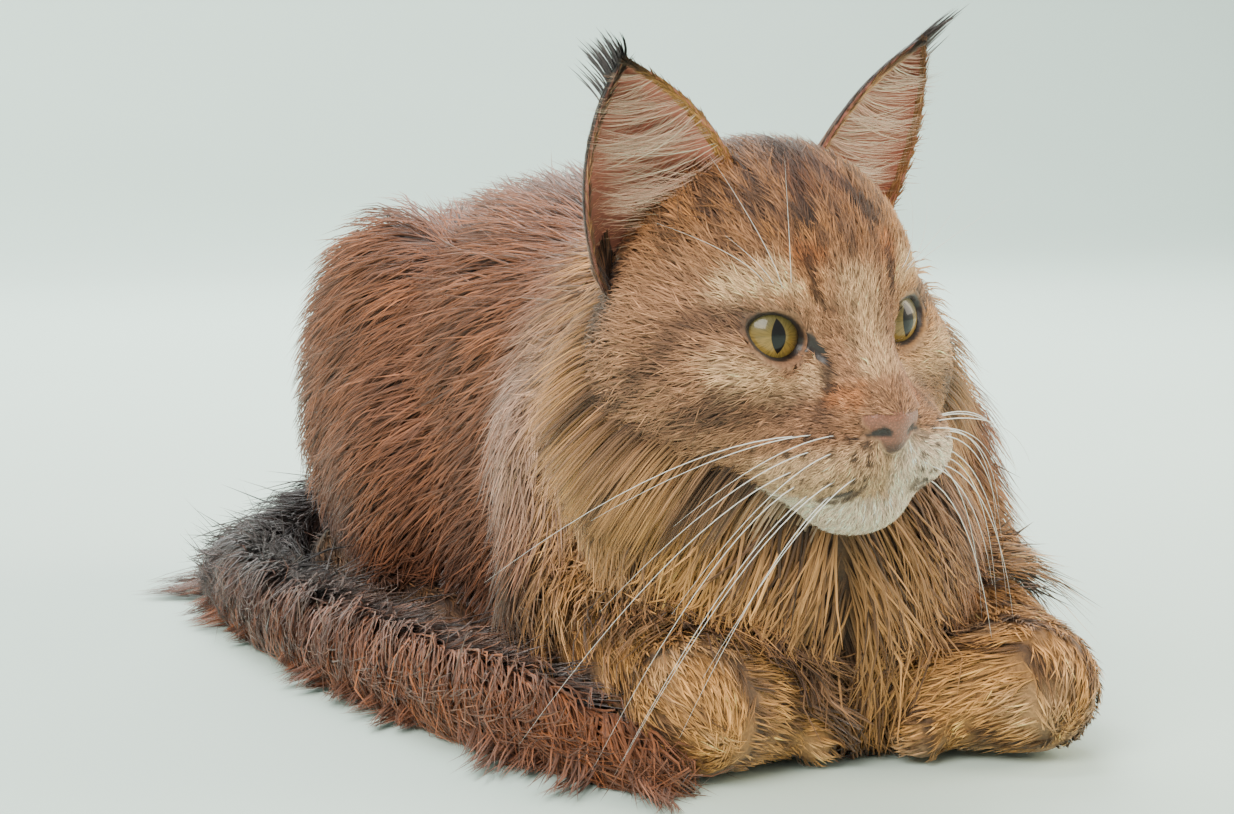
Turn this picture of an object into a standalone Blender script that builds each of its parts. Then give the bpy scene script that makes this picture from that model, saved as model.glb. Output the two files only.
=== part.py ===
"""A Maine Coon cat lying with folded forepaws, head turned, tail round its right side.

Life size, in metres, +Z up. The cat faces -Y, its left side is +X, and the origin is on
the floor under the middle of the belly. Flesh is blended from rounded masses, meshed once
for each part of the body, and parted so that touching parts keep a thin gap.
"""
import math

import bpy
import bmesh
import numpy as np
import openvdb
from mathutils import Euler, Matrix, Vector
from mathutils.bvhtree import BVHTree

OBJECT_NAME = "maine_coon_cat"

# Driving sizes, in metres
MM = 0.001
GAP = 0.0003
WELD = 0.0000002
NUDGE = 0.00003
ATTEMPTS = 8
SEED = 41
BACK_HEIGHT = 0.183
BODY_HALF_WIDTH = 0.082
HAUNCH_HALF_WIDTH = 0.096
RUMP_Y = 0.240

# The head: where it sits and how it is turned
HEAD_CENTRE = (-0.034, -0.1645, 0.139)
HEAD_YAW = math.radians(7.5)
HEAD_PITCH = math.radians(4.0)
HEAD_ROLL = math.radians(-3.3)

# Depth of the coat over the flesh, out to the tips, and the share of it that is a dense core
TRUNK_COAT = 0.015
HAUNCH_COAT = 0.014
LEG_COAT = 0.005
FACE_COAT = 0.002
CORE_SHARE = 0.4

# Eyes, from the head's own centre
EYE_RADIUS = 0.0110
EYE_SPACING = 0.043
EYE_FORWARD = 0.0245
EYE_RISE = 0.0035
EYE_DIVERGENCE = math.radians(11.0)
LID_THICKNESS = 0.0019

# Where the head ends behind, and the seam between neck and torso
HEAD_DEPTH = 0.030
NECK_SEAM_POINT = (0.0, -0.088, 0.100)
NECK_SEAM_NORMAL = (0.0, -1.0, 0.50)

# The ears' sheets and the tufts on their tips
EAR_ROWS = 8
EAR_COLUMNS = 9
EAR_THICKNESS = 0.0022
EAR_TUFTS = 4
EAR_TUFT_LENGTH = 0.021
EAR_TUFT_WIDTH = 0.0034
EAR_TUFT_DEPTH = 0.0014

# Length, width, thickness and depth of root of one lock of long hair
HAUNCH_LOCK = (0.066, 0.025, 0.0034, 0.004)
RUFF_LOCK = (0.058, 0.020, 0.0032, 0.0035)
FLANK_LOCK = (0.074, 0.027, 0.0036, 0.004)
TAIL_LOCK = (0.068, 0.016, 0.0028, 0.0035)

# Shape of a lock from root to tip: shares of its width, of its thickness and of its height
LOCK_SECTIONS = 4
LOCK_WIDTHS = (0.62, 1.00, 0.90, 0.58)
LOCK_DEPTHS = (1.00, 1.00, 0.85, 0.60)
LOCK_RISE = (0.0, 0.22, 0.52, 0.80, 1.0)
CLEARANCE = 0.0004
FLOOR_CLEARANCE = 0.0006

# Voxel sizes of the meshes before they are thinned out, and triangles kept of each
BODY_VOXEL = 0.0035
LEG_VOXEL = 0.0025
HEAD_VOXEL = 0.0011
HEAD_TRIANGLES = 2200
TRUNK_TRIANGLES = 900
FORELEG_TRIANGLES = 440
HINDLEG_TRIANGLES = 380
TAIL_TRIANGLES = 560
SLIVERS_KEPT = (0.78, 0.80, 0.82, 0.84, 0.87, 0.90, 0.93)
POINTS_AT_ONCE = 400000
ROOTS_DRAWN = 9000


# Fields: each gives the distance of points from a form, below zero inside it

def ellipsoid(points, centre, radii, turn=(0.0, 0.0, 0.0)):
    """Distance from an ellipsoid, turned by Euler angles."""
    local = (points - np.array(centre)) @ np.array(Euler(turn).to_matrix())
    scaled = np.linalg.norm(local / np.array(radii), axis=1)
    slope = np.linalg.norm(local / np.array(radii) ** 2, axis=1)
    return scaled * (scaled - 1.0) / np.maximum(slope, 1e-9)


def limb(points, start, end, start_radius, end_radius):
    """Distance from a tapered rod with round ends."""
    start = np.array(start)
    axis = np.array(end) - start
    along = np.clip((points - start) @ axis / (axis @ axis), 0.0, 1.0)
    nearest = start + along[:, None] * axis
    return np.linalg.norm(points - nearest, axis=1) - (start_radius + along * (end_radius - start_radius))


def blend(first, second, width):
    """Union of two fields with a soft fillet of the given width."""
    overlap = np.maximum(width - np.abs(first - second), 0.0) / width
    return np.minimum(first, second) - overlap * overlap * width * 0.25


def carve(first, second, width):
    """The first field with the second taken away, with a soft edge."""
    return -blend(-first, second, width)


def chain(points, route, radii):
    """A bent limb through several points."""
    field = limb(points, route[0], route[1], radii[0], radii[1])
    for index in range(1, len(route) - 1):
        piece = limb(points, route[index], route[index + 1], radii[index], radii[index + 1])
        field = np.minimum(field, piece)
    return field


def rounded_route(route, steps):
    """A smooth curve through the given places, with steps stretches between each two."""
    route = [np.array(place, dtype=float) for place in route]
    padded = [2 * route[0] - route[1]] + route + [2 * route[-1] - route[-2]]
    curve = []
    for index in range(1, len(padded) - 2):
        before, start, end, after = padded[index - 1:index + 3]
        for step in range(steps):
            t = step / steps
            curve.append(0.5 * (2 * start + (end - before) * t
                                + (2 * before - 5 * start + 4 * end - after) * t * t
                                + (3 * start - before - 3 * end + after) * t * t * t))
    curve.append(route[-1])
    return curve


# The forms of the body

def trunk_field(points, coat=0.0):
    """Barrel, rump, shoulders, chest and neck as one flowing form under a coat."""
    top = BACK_HEIGHT - TRUNK_COAT
    width = BODY_HALF_WIDTH - TRUNK_COAT
    ribs = ellipsoid(points, (0.0, 0.045, top - 0.074), (width, 0.125, 0.074))
    rump = ellipsoid(points, (0.0, RUMP_Y - TRUNK_COAT - 0.085, 0.080), (width, 0.085, 0.066))
    belly = ellipsoid(points, (0.0, 0.035, 0.040), (width, 0.165, 0.052))
    shoulders = ellipsoid(points, (-0.006, -0.070, 0.088), (0.056, 0.062, 0.062))
    chest = ellipsoid(points, (-0.008, -0.128, 0.050), (0.044, 0.048, 0.060))
    neck = limb(points, (-0.004, -0.060, 0.106), (-0.034, -0.122, 0.118), 0.048, 0.040)
    ruff = ellipsoid(points, (-0.028, -0.146, 0.080), (0.044, 0.036, 0.042))
    field = ribs
    for mass in (rump, belly, shoulders, chest, neck, ruff):
        field = blend(field, mass, 0.035)
    return field - coat


def foreleg_route(side):
    """Shoulder, elbow, wrist and paw end of one foreleg; the paws fold inwards."""
    if side < 0:
        elbow, wrist, paw = (-0.058, -0.085, 0.034), (-0.062, -0.172, 0.022), (-0.030, -0.163, 0.018)
    else:
        elbow, wrist, paw = (0.060, -0.090, 0.034), (0.046, -0.186, 0.022), (0.016, -0.172, 0.018)
    return (side * 0.052, -0.072, 0.085), elbow, wrist, paw


def foreleg_field(points, side):
    """Upper arm, forearm and the paw with its toes."""
    shoulder, elbow, wrist, paw = (np.array(place) for place in foreleg_route(side))
    field = limb(points, shoulder, elbow, 0.028, 0.023)
    field = blend(field, limb(points, elbow, wrist, 0.023, 0.017), 0.012)
    field = blend(field, limb(points, wrist, paw, 0.017, 0.0135), 0.008)
    forward = (paw - wrist) / np.linalg.norm(paw - wrist)
    across = np.array((forward[1], -forward[0], 0.0))
    for toe in range(4):
        offset = (toe - 1.5) * 0.0078
        centre = paw + forward * (0.006 - abs(toe - 1.5) * 0.0025) + across * offset
        centre[2] = 0.0105
        field = blend(field, ellipsoid(points, centre, (0.0062, 0.0062, 0.0075)), 0.0025)
    return field - LEG_COAT


def hindleg_field(points, side, coat=0.0):
    """Haunch under its coat, folded shin and the long hind foot flat on the floor."""
    haunch_x = side * (HAUNCH_HALF_WIDTH - HAUNCH_COAT - 0.032)
    haunch = ellipsoid(points, (haunch_x, 0.126, 0.082), (0.032, 0.076, 0.074), (0.12, 0.0, 0.0))
    knee = ellipsoid(points, (side * 0.066, 0.068, 0.052), (0.019, 0.034, 0.036))
    field = blend(haunch, knee, 0.03) - coat
    foot = limb(points, (side * 0.070, 0.150, 0.019), (side * 0.072, 0.022, 0.013), 0.013, 0.0105)
    field = blend(field, foot - LEG_COAT, 0.008)
    for toe in range(4):
        offset = (toe - 1.5) * 0.0075
        centre = (side * 0.072 + offset, 0.014 + abs(toe - 1.5) * 0.0025, 0.0105)
        field = blend(field, ellipsoid(points, centre, (0.0060, 0.0085, 0.0075)) - LEG_COAT, 0.0025)
    return field


TAIL_ROUTE = (
    (-0.010, 0.190), (-0.050, 0.220), (-0.088, 0.205), (-0.111, 0.155), (-0.117, 0.085),
    (-0.115, 0.005), (-0.107, -0.070), (-0.095, -0.130), (-0.080, -0.178))
TAIL_COAT_RADII = (0.036, 0.030, 0.0225, 0.021, 0.0225, 0.0235, 0.023, 0.020, 0.011)
TAIL_CORE_SHARE = 0.62
TAIL_ROOT_HEIGHT = 0.020
TAIL_CUTS = (0.118, -0.020)


def tail_curve(share):
    """Places and radii along the tail, laid on the floor, at a share of the coat's radius."""
    sized = []
    for place, radius in zip(TAIL_ROUTE, TAIL_COAT_RADII):
        own = radius * share
        lift = TAIL_ROOT_HEIGHT if len(sized) == 0 else TAIL_ROOT_HEIGHT / 3 * (len(sized) == 1)
        sized.append((*place, own - 0.0012 + lift, own))
    return rounded_route(sized, 3)


def tail_field(points, share=TAIL_CORE_SHARE):
    """The whole tail, from the rump round the right side to the paw."""
    curve = tail_curve(share)
    return chain(points, [place[:3] for place in curve], [place[3] for place in curve])


# The head, in its own frame: -Y to the nose, +X its left, centre of the skull at zero

def head_matrix():
    turn = (Matrix.Rotation(HEAD_YAW, 4, "Z") @ Matrix.Rotation(HEAD_PITCH, 4, "X")
            @ Matrix.Rotation(HEAD_ROLL, 4, "Y"))
    return Matrix.Translation(HEAD_CENTRE) @ turn


def eye_frame(side):
    """Centre of an eyeball and its forward, side and up directions in the head's frame."""
    centre = np.array((side * EYE_SPACING / 2, -EYE_FORWARD, EYE_RISE))
    forward = np.array((side * math.sin(EYE_DIVERGENCE), -math.cos(EYE_DIVERGENCE), 0.06))
    forward /= np.linalg.norm(forward)
    outward = np.cross(forward, (0.0, 0.0, 1.0))
    outward *= side * np.sign(outward[0]) / np.linalg.norm(outward)
    rise = np.cross(outward, forward)
    rise *= np.sign(rise[2])
    return centre, forward, outward, rise


def lid_opening(points, side):
    """The almond between the lids, as a field that widens forwards from the eyeball."""
    centre, forward, outward, rise = eye_frame(side)
    local = points - centre
    depth = np.maximum(local @ forward, 0.002)
    across = (local @ outward) / depth
    height = (local @ rise) / depth
    tilt = height - 0.30 * across
    half_width = 1.10
    bow = np.clip(1.0 - (across / half_width) ** 2, 0.0, 1.0)
    upper = 0.66 * bow ** 0.62
    lower = -0.72 * bow ** 0.70
    outside = np.maximum(tilt - upper, lower - tilt)
    outside = np.maximum(outside, np.abs(across) - half_width)
    reach = np.linalg.norm(local, axis=1) - (EYE_RADIUS + LID_THICKNESS + 0.0022)
    opening = np.maximum(outside * depth * 0.8, 0.003 - local @ forward)
    return np.maximum(opening, reach)


def skull_field(points):
    """Skull, brow, muzzle, whisker pads, chin and cheeks with their short fur."""
    size = points / MM
    mirrored = np.column_stack((np.abs(size[:, 0]), size[:, 1], size[:, 2]))
    field = ellipsoid(size, (0, 8, 12), (42, 45, 42))
    masses = (
        (ellipsoid(size, (0, -18, 16), (27, 19, 21)), 16),
        (limb(size, (0, -28, 10), (0, -53, -15), 11.5, 8.0), 14),
        (ellipsoid(size, (0, -36, -24), (20, 20, 17)), 12),
        (ellipsoid(mirrored, (15, -38, -31), (14, 19, 14)), 10),
        (limb(size, (0, -5, -28), (0, -36, -40), 22, 15), 12),
        (ellipsoid(mirrored, (27, -9, -15), (23, 27, 25)), 14),
        (ellipsoid(mirrored, (36, 10, -12), (20, 25, 27)), 16),
        (ellipsoid(mirrored, (29, -21, -8), (13, 12, 9)), 8),
    )
    for mass, width in masses:
        field = blend(field, mass, width)
    return field


def face_field(points):
    """The skull with its lids, nose, mouth line and nostrils."""
    field = skull_field(points) - FACE_COAT / MM
    size = points / MM
    mirrored = np.column_stack((np.abs(size[:, 0]), size[:, 1], size[:, 2]))
    for side in (1, -1):
        centre = eye_frame(side)[0]
        lids = np.linalg.norm(points - centre, axis=1) - (EYE_RADIUS + LID_THICKNESS)
        field = blend(field, lids / MM, 5)
    pads = ellipsoid(mirrored, (11.5, -47, -31), (14.5, 15.5, 11.5))
    field = blend(field, pads, 7)
    field = blend(field, ellipsoid(size, (0, -42, -47), (15, 13.5, 10)), 6)
    nose = limb(mirrored, (0, -60.5, -25.5), (5.5, -59, -18.5), 3.6, 3.8)
    nose = blend(nose, limb(size, (0, -54, -13), (0, -61, -18), 6.5, 4.6), 5)
    field = blend(field, nose, 2.5)
    for side in (1, -1):
        field = carve(field, lid_opening(points, side) / MM, 1.2)
    nostril = chain(mirrored, ((3.4, -66, -22.5), (5.0, -63, -21.5), (9.0, -60.5, -21.5)), (1.7, 1.8, 1.1))
    field = carve(field, nostril, 1.0)
    cleft = limb(size, (0, -66, -28), (0, -64.5, -37.5), 0.9, 0.9)
    field = carve(field, cleft, 1.5)
    lips = chain(
        mirrored, ((0, -64.5, -38.0), (7, -62.5, -41.5), (15, -56, -41.5), (22, -45, -38.5)),
        (1.0, 1.2, 1.3, 1.0))
    return carve(field, lips, 1.5)


def head_field(points):
    """The head's field at points given in the cat's frame."""
    inverse = np.array(head_matrix().inverted())
    local = points @ inverse[:3, :3].T + inverse[:3, 3]
    return face_field(local) * MM


def body_field(points):
    """The flesh of the whole cat but its tail, for hair to lie over."""
    field = np.minimum(trunk_field(points), head_field(points))
    for side in (1, -1):
        field = np.minimum(field, np.minimum(foreleg_field(points, side), hindleg_field(points, side)))
    return field


# Meshes

def link(mesh, name, parts):
    thing = bpy.data.objects.new(name, mesh)
    parts.objects.link(thing)
    return thing


def mesh_from_field(name, field, low, high, voxel, parts):
    """Mesh of the field's zero surface inside the box from low to high."""
    counts = [int(math.ceil((high[axis] - low[axis]) / voxel)) + 1 for axis in range(3)]
    lines = [low[axis] + voxel * np.arange(counts[axis]) for axis in range(3)]
    grid_points = np.stack(np.meshgrid(*lines, indexing="ij"), axis=-1).reshape(-1, 3)
    values = np.empty(len(grid_points))
    for start in range(0, len(grid_points), POINTS_AT_ONCE):
        stop = start + POINTS_AT_ONCE
        values[start:stop] = field(grid_points[start:stop])
    volume = openvdb.FloatGrid(background=1.0)
    volume.copyFromArray((values / voxel).reshape(counts).astype(np.float32))
    corners, quads = volume.convertToQuads(isovalue=0.0)
    mesh = bpy.data.meshes.new(name)
    mesh.from_pydata((np.array(low) + corners * voxel).tolist(), [], quads.tolist())
    mesh.update()
    tidy_normals(mesh)
    return link(mesh, name, parts)


def tidy_normals(mesh):
    shape = bmesh.new()
    shape.from_mesh(mesh)
    bmesh.ops.recalc_face_normals(shape, faces=shape.faces)
    shape.to_mesh(mesh)
    shape.free()


def apply_modifiers(thing):
    """Bake the object's modifiers into its mesh."""
    graph = bpy.context.evaluated_depsgraph_get()
    baked = bpy.data.meshes.new_from_object(thing.evaluated_get(graph))
    thing.modifiers.clear()
    thing.data = baked
    baked.name = thing.name
    return thing


def thin_out(thing, triangles, smoothing=2):
    """Even out the voxel steps and reduce the mesh to about a number of triangles."""
    if smoothing:
        smooth = thing.modifiers.new("even", "SMOOTH")
        smooth.factor = 0.5
        smooth.iterations = smoothing
    reduce = thing.modifiers.new("reduce", "DECIMATE")
    if "hidden" in thing.vertex_groups:
        reduce.vertex_group = "hidden"
    reduce.ratio = triangles / sum(len(face.vertices) - 2 for face in thing.data.polygons)
    reduce.use_collapse_triangulate = True
    return apply_modifiers(thing)


def faults(mesh):
    """Places of edges that don't join just two faces, as they are or once welded."""
    shape = bmesh.new()
    shape.from_mesh(mesh)
    places = [edge.verts[0].co.copy() for edge in shape.edges if not (edge.is_manifold and edge.is_contiguous)]
    bmesh.ops.remove_doubles(shape, verts=shape.verts, dist=WELD)
    places += [edge.verts[0].co.copy() for edge in shape.edges if not edge.is_manifold]
    shape.free()
    return places


def boolean(thing, tools, operation):
    """One Boolean with the tools, an object or a collection of them, applied.

    The manifold solver is used because the exact one leaves open seams between these thinned
    meshes. Only the largest closed surface is kept. Where surfaces happen to touch along an
    edge, the Boolean is done again with the object nudged, or without the piece at the fault.
    """
    whole = thing.data.copy()
    single = isinstance(tools, bpy.types.Object)
    nudge = np.random.default_rng(SEED)
    for _attempt in range(ATTEMPTS):
        cutter = thing.modifiers.new("cut", "BOOLEAN")
        cutter.operation = operation
        cutter.solver = "MANIFOLD"
        if single:
            cutter.object = tools
        else:
            cutter.operand_type = "COLLECTION"
            cutter.collection = tools
        apply_modifiers(thing)
        keep_largest(thing)
        places = faults(thing.data)
        if not places:
            return
        thing.data = whole.copy()
        if single:
            tools.data.transform(Matrix.Translation(nudge.uniform(-NUDGE, NUDGE, 3)))
        else:
            guilty = min(tools.objects, key=lambda piece: tree_of(piece).find_nearest(places[0])[3])
            bpy.data.objects.remove(guilty)
    raise RuntimeError(thing.name + " doesn't close")


def keep_largest(thing):
    """Drop all but the largest closed surface."""
    shape = bmesh.new()
    shape.from_mesh(thing.data)
    bmesh.ops.triangulate(shape, faces=shape.faces)
    shape.faces.index_update()
    islands = []
    seen = set()
    for face in shape.faces:
        if face.index in seen:
            continue
        island = []
        stack = [face]
        seen.add(face.index)
        while stack:
            current = stack.pop()
            island.append(current)
            for edge in current.edges:
                for neighbour in edge.link_faces:
                    if neighbour.index not in seen:
                        seen.add(neighbour.index)
                        stack.append(neighbour)
        islands.append(island)
    islands.sort(key=lambda island: sum(face.calc_area() for face in island))
    scraps = [face for island in islands[:-1] for face in island]
    bmesh.ops.delete(shape, geom=scraps, context="FACES")
    loose = [vertex for vertex in shape.verts if not vertex.link_faces]
    bmesh.ops.delete(shape, geom=loose, context="VERTS")
    shape.to_mesh(thing.data)
    shape.free()


def cut_away(thing, others, cutters, gap=GAP):
    """Take other parts, grown by the gap, out of this one."""
    for other in others:
        grown = other.data.copy()
        normals = np.empty(len(grown.vertices) * 3)
        places = np.empty(len(grown.vertices) * 3)
        grown.vertices.foreach_get("normal", normals)
        grown.vertices.foreach_get("co", places)
        grown.vertices.foreach_set("co", places + normals * gap)
        grown.update()
        tool = link(grown, "grown_" + other.name, cutters)
        boolean(thing, tool, "DIFFERENCE")
        bpy.data.objects.remove(tool)


def box(name, low, high, cutters):
    bpy.ops.mesh.primitive_cube_add(size=1.0)
    thing = bpy.context.object
    thing.name = name
    for vertex in thing.data.vertices:
        for axis in range(3):
            middle = (low[axis] + high[axis]) / 2
            vertex.co[axis] = middle + vertex.co[axis] * (high[axis] - low[axis])
    move_to(thing, cutters)
    return thing


def move_to(thing, collection):
    for home in list(thing.users_collection):
        home.objects.unlink(thing)
    collection.objects.link(thing)


def slab(name, through, normal, side, cutters):
    """A large block whose face passes through a point, half a gap off it on one side."""
    thing = box(name, (-0.5, -0.5, 0.0), (0.5, 0.5, 0.5), cutters)
    turn = Vector((0, 0, 1)).rotation_difference(Vector(normal) * side).to_matrix().to_4x4()
    shift = Matrix.Translation(Vector(through) - Vector(normal).normalized() * side * GAP / 2)
    thing.data.transform(shift @ turn)
    return thing


# Nodes

def make_trunk(parts):
    trunk = mesh_from_field(
        "trunk", lambda p: trunk_field(p, TRUNK_COAT * CORE_SHARE),
        (-0.13, -0.26, -0.04), (0.13, 0.29, 0.22), BODY_VOXEL, parts)
    return thin_out(trunk, TRUNK_TRIANGLES)


def make_eye(side, parts):
    bpy.ops.mesh.primitive_uv_sphere_add(segments=14, ring_count=9, radius=EYE_RADIUS)
    eye = bpy.context.object
    eye.name = "eye_left" if side > 0 else "eye_right"
    move_to(eye, parts)
    centre, forward, _outward, _rise = eye_frame(side)
    turn = Vector((0, 0, 1)).rotation_difference(Vector(forward)).to_matrix().to_4x4()
    eye.data.transform(head_matrix() @ Matrix.Translation(centre) @ turn)
    return eye


def make_head(eyes, parts, cutters):
    middle = np.array(HEAD_CENTRE)
    low = middle - np.array((0.075, 0.080, 0.070))
    high = middle + np.array((0.075, 0.070, 0.070))
    head = mesh_from_field("head", head_field, low, high, HEAD_VOXEL, parts)
    backwards = head_matrix().to_3x3() @ Vector((0.0, 1.0, 0.0))
    hidden = head.vertex_groups.new(name="hidden")
    for vertex in head.data.vertices:
        depth = (vertex.co - Vector(HEAD_CENTRE)) @ backwards
        weight = min(max((depth + 0.020) / 0.030, 0.06), 1.0)
        hidden.add((vertex.index,), weight, "REPLACE")
    thin_out(head, HEAD_TRIANGLES, smoothing=1)
    split(head, Vector(HEAD_CENTRE) + backwards * HEAD_DEPTH, backwards, -1, cutters)
    cut_away(head, eyes, cutters, GAP * 1.5)
    return head


def ear_point(across, up, side):
    """A point of the ear's cupped sheet in the head's frame; across runs -1 inner to 1 outer."""
    tip = np.array((54.0, -1.0, 85.0))
    inner = np.array((9.0, 1.0, 42.0))
    outer = np.array((49.0, 22.0, 12.0))
    inner_edge = inner + (tip - inner) * up + np.array((-2.0, -1.0, 5.0)) * math.sin(math.pi * up)
    outer_edge = outer + (tip - outer) * up + np.array((9.0, 1.0, 2.0)) * math.sin(math.pi * up) ** 0.8
    place = inner_edge * (1 - across) / 2 + outer_edge * (1 + across) / 2
    hollow = 19.0 * (1.0 - up) ** 0.6 * (1.0 - across * across) ** 0.8
    place = place + hollow * np.array((0.10, 0.97, 0.10))
    place[0] *= side
    return place * MM


def make_ear(side, head, parts, cutters):
    """A cupped, tapering ear set on the head."""
    name = "ear_left" if side > 0 else "ear_right"
    corners = []
    for row in range(EAR_ROWS):
        up = 0.965 * row / (EAR_ROWS - 1)
        for column in range(EAR_COLUMNS):
            across = 2.0 * column / (EAR_COLUMNS - 1) - 1.0
            corners.append(ear_point(across, up, side))
    faces = []
    for row in range(EAR_ROWS - 1):
        for column in range(EAR_COLUMNS - 1):
            first = row * EAR_COLUMNS + column
            faces.append((first, first + 1, first + EAR_COLUMNS + 1, first + EAR_COLUMNS))
    mesh = bpy.data.meshes.new(name)
    mesh.from_pydata([tuple(place) for place in corners], [], faces)
    mesh.transform(head_matrix())
    ear = link(mesh, name, parts)
    shell = ear.modifiers.new("thickness", "SOLIDIFY")
    shell.thickness = EAR_THICKNESS
    shell.offset = 0.0
    apply_modifiers(ear)
    tidy_normals(ear.data)
    cut_away(ear, [head], cutters)
    return ear


def make_foreleg(side, parts):
    name = "foreleg_left" if side > 0 else "foreleg_right"
    low = (min(side * 0.10, -0.02 * side), -0.225, -0.02)
    high = (max(side * 0.10, -0.02 * side), -0.030, 0.13)
    leg = mesh_from_field(name, lambda p: foreleg_field(p, side), low, high, LEG_VOXEL, parts)
    return thin_out(leg, FORELEG_TRIANGLES)


def make_hindleg(side, parts):
    name = "hindleg_left" if side > 0 else "hindleg_right"
    low = (min(side * 0.12, side * 0.0), -0.02, -0.03)
    high = (max(side * 0.12, side * 0.0), 0.24, 0.18)
    leg = mesh_from_field(
        name, lambda p: hindleg_field(p, side, HAUNCH_COAT * CORE_SHARE), low, high, LEG_VOXEL, parts)
    return thin_out(leg, HINDLEG_TRIANGLES)


def make_tail(body, parts, cutters):
    """The tail, laid round the body and parted into three lengths."""
    tail = mesh_from_field(
        "tail", tail_field, (-0.18, -0.21, -0.02), (0.04, 0.29, 0.10), BODY_VOXEL, parts)
    thin_out(tail, TAIL_TRIANGLES)
    cut_away(tail, body, cutters)
    lengths = []
    names = ("tail_base", "tail_middle", "tail_tip")
    for index, name in enumerate(names):
        length = link(tail.data.copy(), name, parts)
        if index > 0:
            split(length, (0.0, TAIL_CUTS[index - 1], 0.0), (0.0, 1.0, 0.0), -1, cutters)
        if index < 2:
            split(length, (0.0, TAIL_CUTS[index], 0.0), (0.0, 1.0, 0.0), 1, cutters)
        lengths.append(length)
    bpy.data.objects.remove(tail)
    return lengths


# Locks of long hair

def slopes(field, points):
    """Value and unit gradient of a field."""
    step = 0.0008
    value = field(points)
    gradient = np.empty_like(points)
    for axis in range(3):
        shifted = points.copy()
        shifted[:, axis] += step
        gradient[:, axis] = field(shifted) - value
    gradient /= np.maximum(np.linalg.norm(gradient, axis=1), 1e-9)[:, None]
    return value, gradient


def unit(vectors):
    return vectors / np.maximum(np.linalg.norm(vectors, axis=1), 1e-9)[:, None]


def trunk_lie(points):
    """Direction of the hair: back along the body and down its sides, down and outwards on the chest."""
    front = np.clip((-0.085 - points[:, 1]) / 0.05, 0.0, 1.0)[:, None]
    flank = np.clip(np.abs(points[:, 0]) / BODY_HALF_WIDTH, 0.0, 1.0)[:, None]
    down = np.array((0.0, 0.0, -1.0))
    back = np.array((0.0, 1.0, 0.0)) + down * (0.25 + 0.85 * flank)
    sideways = np.sign(points[:, 0] + 0.02) * 0.35
    outward = np.column_stack((sideways, np.full(len(points), 0.10), -np.ones(len(points))))
    return unit(back * (1 - front) + outward * front)


def haunch_lie(points):
    """Down and back over the thigh."""
    lie = np.tile(np.array((0.0, 0.75, -0.85)), (len(points), 1))
    lie[:, 0] = np.sign(points[:, 0]) * 0.1
    return unit(lie)


def tail_lie(points):
    """Along the tail to its tip and outwards, away from the body."""
    curve = np.array([place[:3] for place in tail_curve(TAIL_CORE_SHARE)])
    along = np.gradient(curve, axis=0)
    nearest = np.argmin(np.linalg.norm(points[:, None, :2] - curve[None, :, :2], axis=2), axis=1)
    forward = unit(along[nearest])
    outward = np.column_stack((forward[:, 1], -forward[:, 0], np.zeros(len(points))))
    spread = np.einsum("ij,ij->i", points - curve[nearest], outward) / 0.015
    lean = np.clip(0.35 + 0.60 * spread, -0.20, 1.30)[:, None]
    lie = forward + outward * lean
    lie[:, 2] -= 0.25
    return unit(lie)


def grow_paths(field, lie, roots, lengths, depths, tips, yaws):
    """Paths of locks that leave the core and follow the body at a growing height."""
    value, normal = slopes(field, roots)
    place = roots - normal * depths[:, None]
    base = value
    paths = [place]
    normals = [normal]
    place = roots.copy()
    for section in range(1, LOCK_SECTIONS + 1):
        toward = lie(place)
        swing = yaws * (0.4 + 0.6 * section / LOCK_SECTIONS)
        toward = toward - normal * np.einsum("ij,ij->i", toward, normal)[:, None]
        toward = unit(toward)
        sideways = np.cross(normal, toward)
        toward = unit(toward + sideways * np.tan(swing)[:, None])
        place = place + toward * (lengths / LOCK_SECTIONS)[:, None]
        value, normal = slopes(field, place)
        height = base + (tips - base) * LOCK_RISE[section]
        place = place + normal * np.clip(height - value, -0.012, 0.012)[:, None]
        paths.append(place)
        normals.append(normal)
    return np.stack(paths, axis=1), np.stack(normals, axis=1)


def lock_shape(path, normals, width, depth, extra=0.0):
    """Corners and faces of one flat, tapered lock along a path."""
    along = unit(np.gradient(path, axis=0))
    across = unit(np.cross(along, normals))
    rise = np.cross(across, along)
    corners = []
    for section in range(LOCK_SECTIONS):
        half = width / 2 * LOCK_WIDTHS[section] + extra
        thick = depth / 2 * LOCK_DEPTHS[section] + extra
        under = -rise[section] * thick * 0.8
        ring = (across[section] * half + under, rise[section] * thick * 1.4, -across[section] * half + under)
        lowest = min((path[section] + offset)[2] for offset in ring)
        lift = max(FLOOR_CLEARANCE + extra - lowest, 0.0)
        corners += [path[section] + offset + np.array((0.0, 0.0, lift)) for offset in ring]
    tip = path[-1] + along[-1] * extra
    tip[2] = max(tip[2], FLOOR_CLEARANCE + 0.0008)
    corners.append(tip)
    faces = [(0, 1, 2)]
    for section in range(LOCK_SECTIONS - 1):
        for side in range(3):
            first = section * 3 + side
            second = section * 3 + (side + 1) % 3
            faces.append((first, first + 3, second + 3))
            faces.append((first, second + 3, second))
    last = (LOCK_SECTIONS - 1) * 3
    for side in range(3):
        faces.append((last + side, last + 3, last + (side + 1) % 3))
    return [tuple(corner) for corner in corners], faces


def tree_of(thing):
    mesh = thing.data
    return BVHTree.FromPolygons([v.co[:] for v in mesh.vertices], [p.vertices[:] for p in mesh.polygons])


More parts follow.
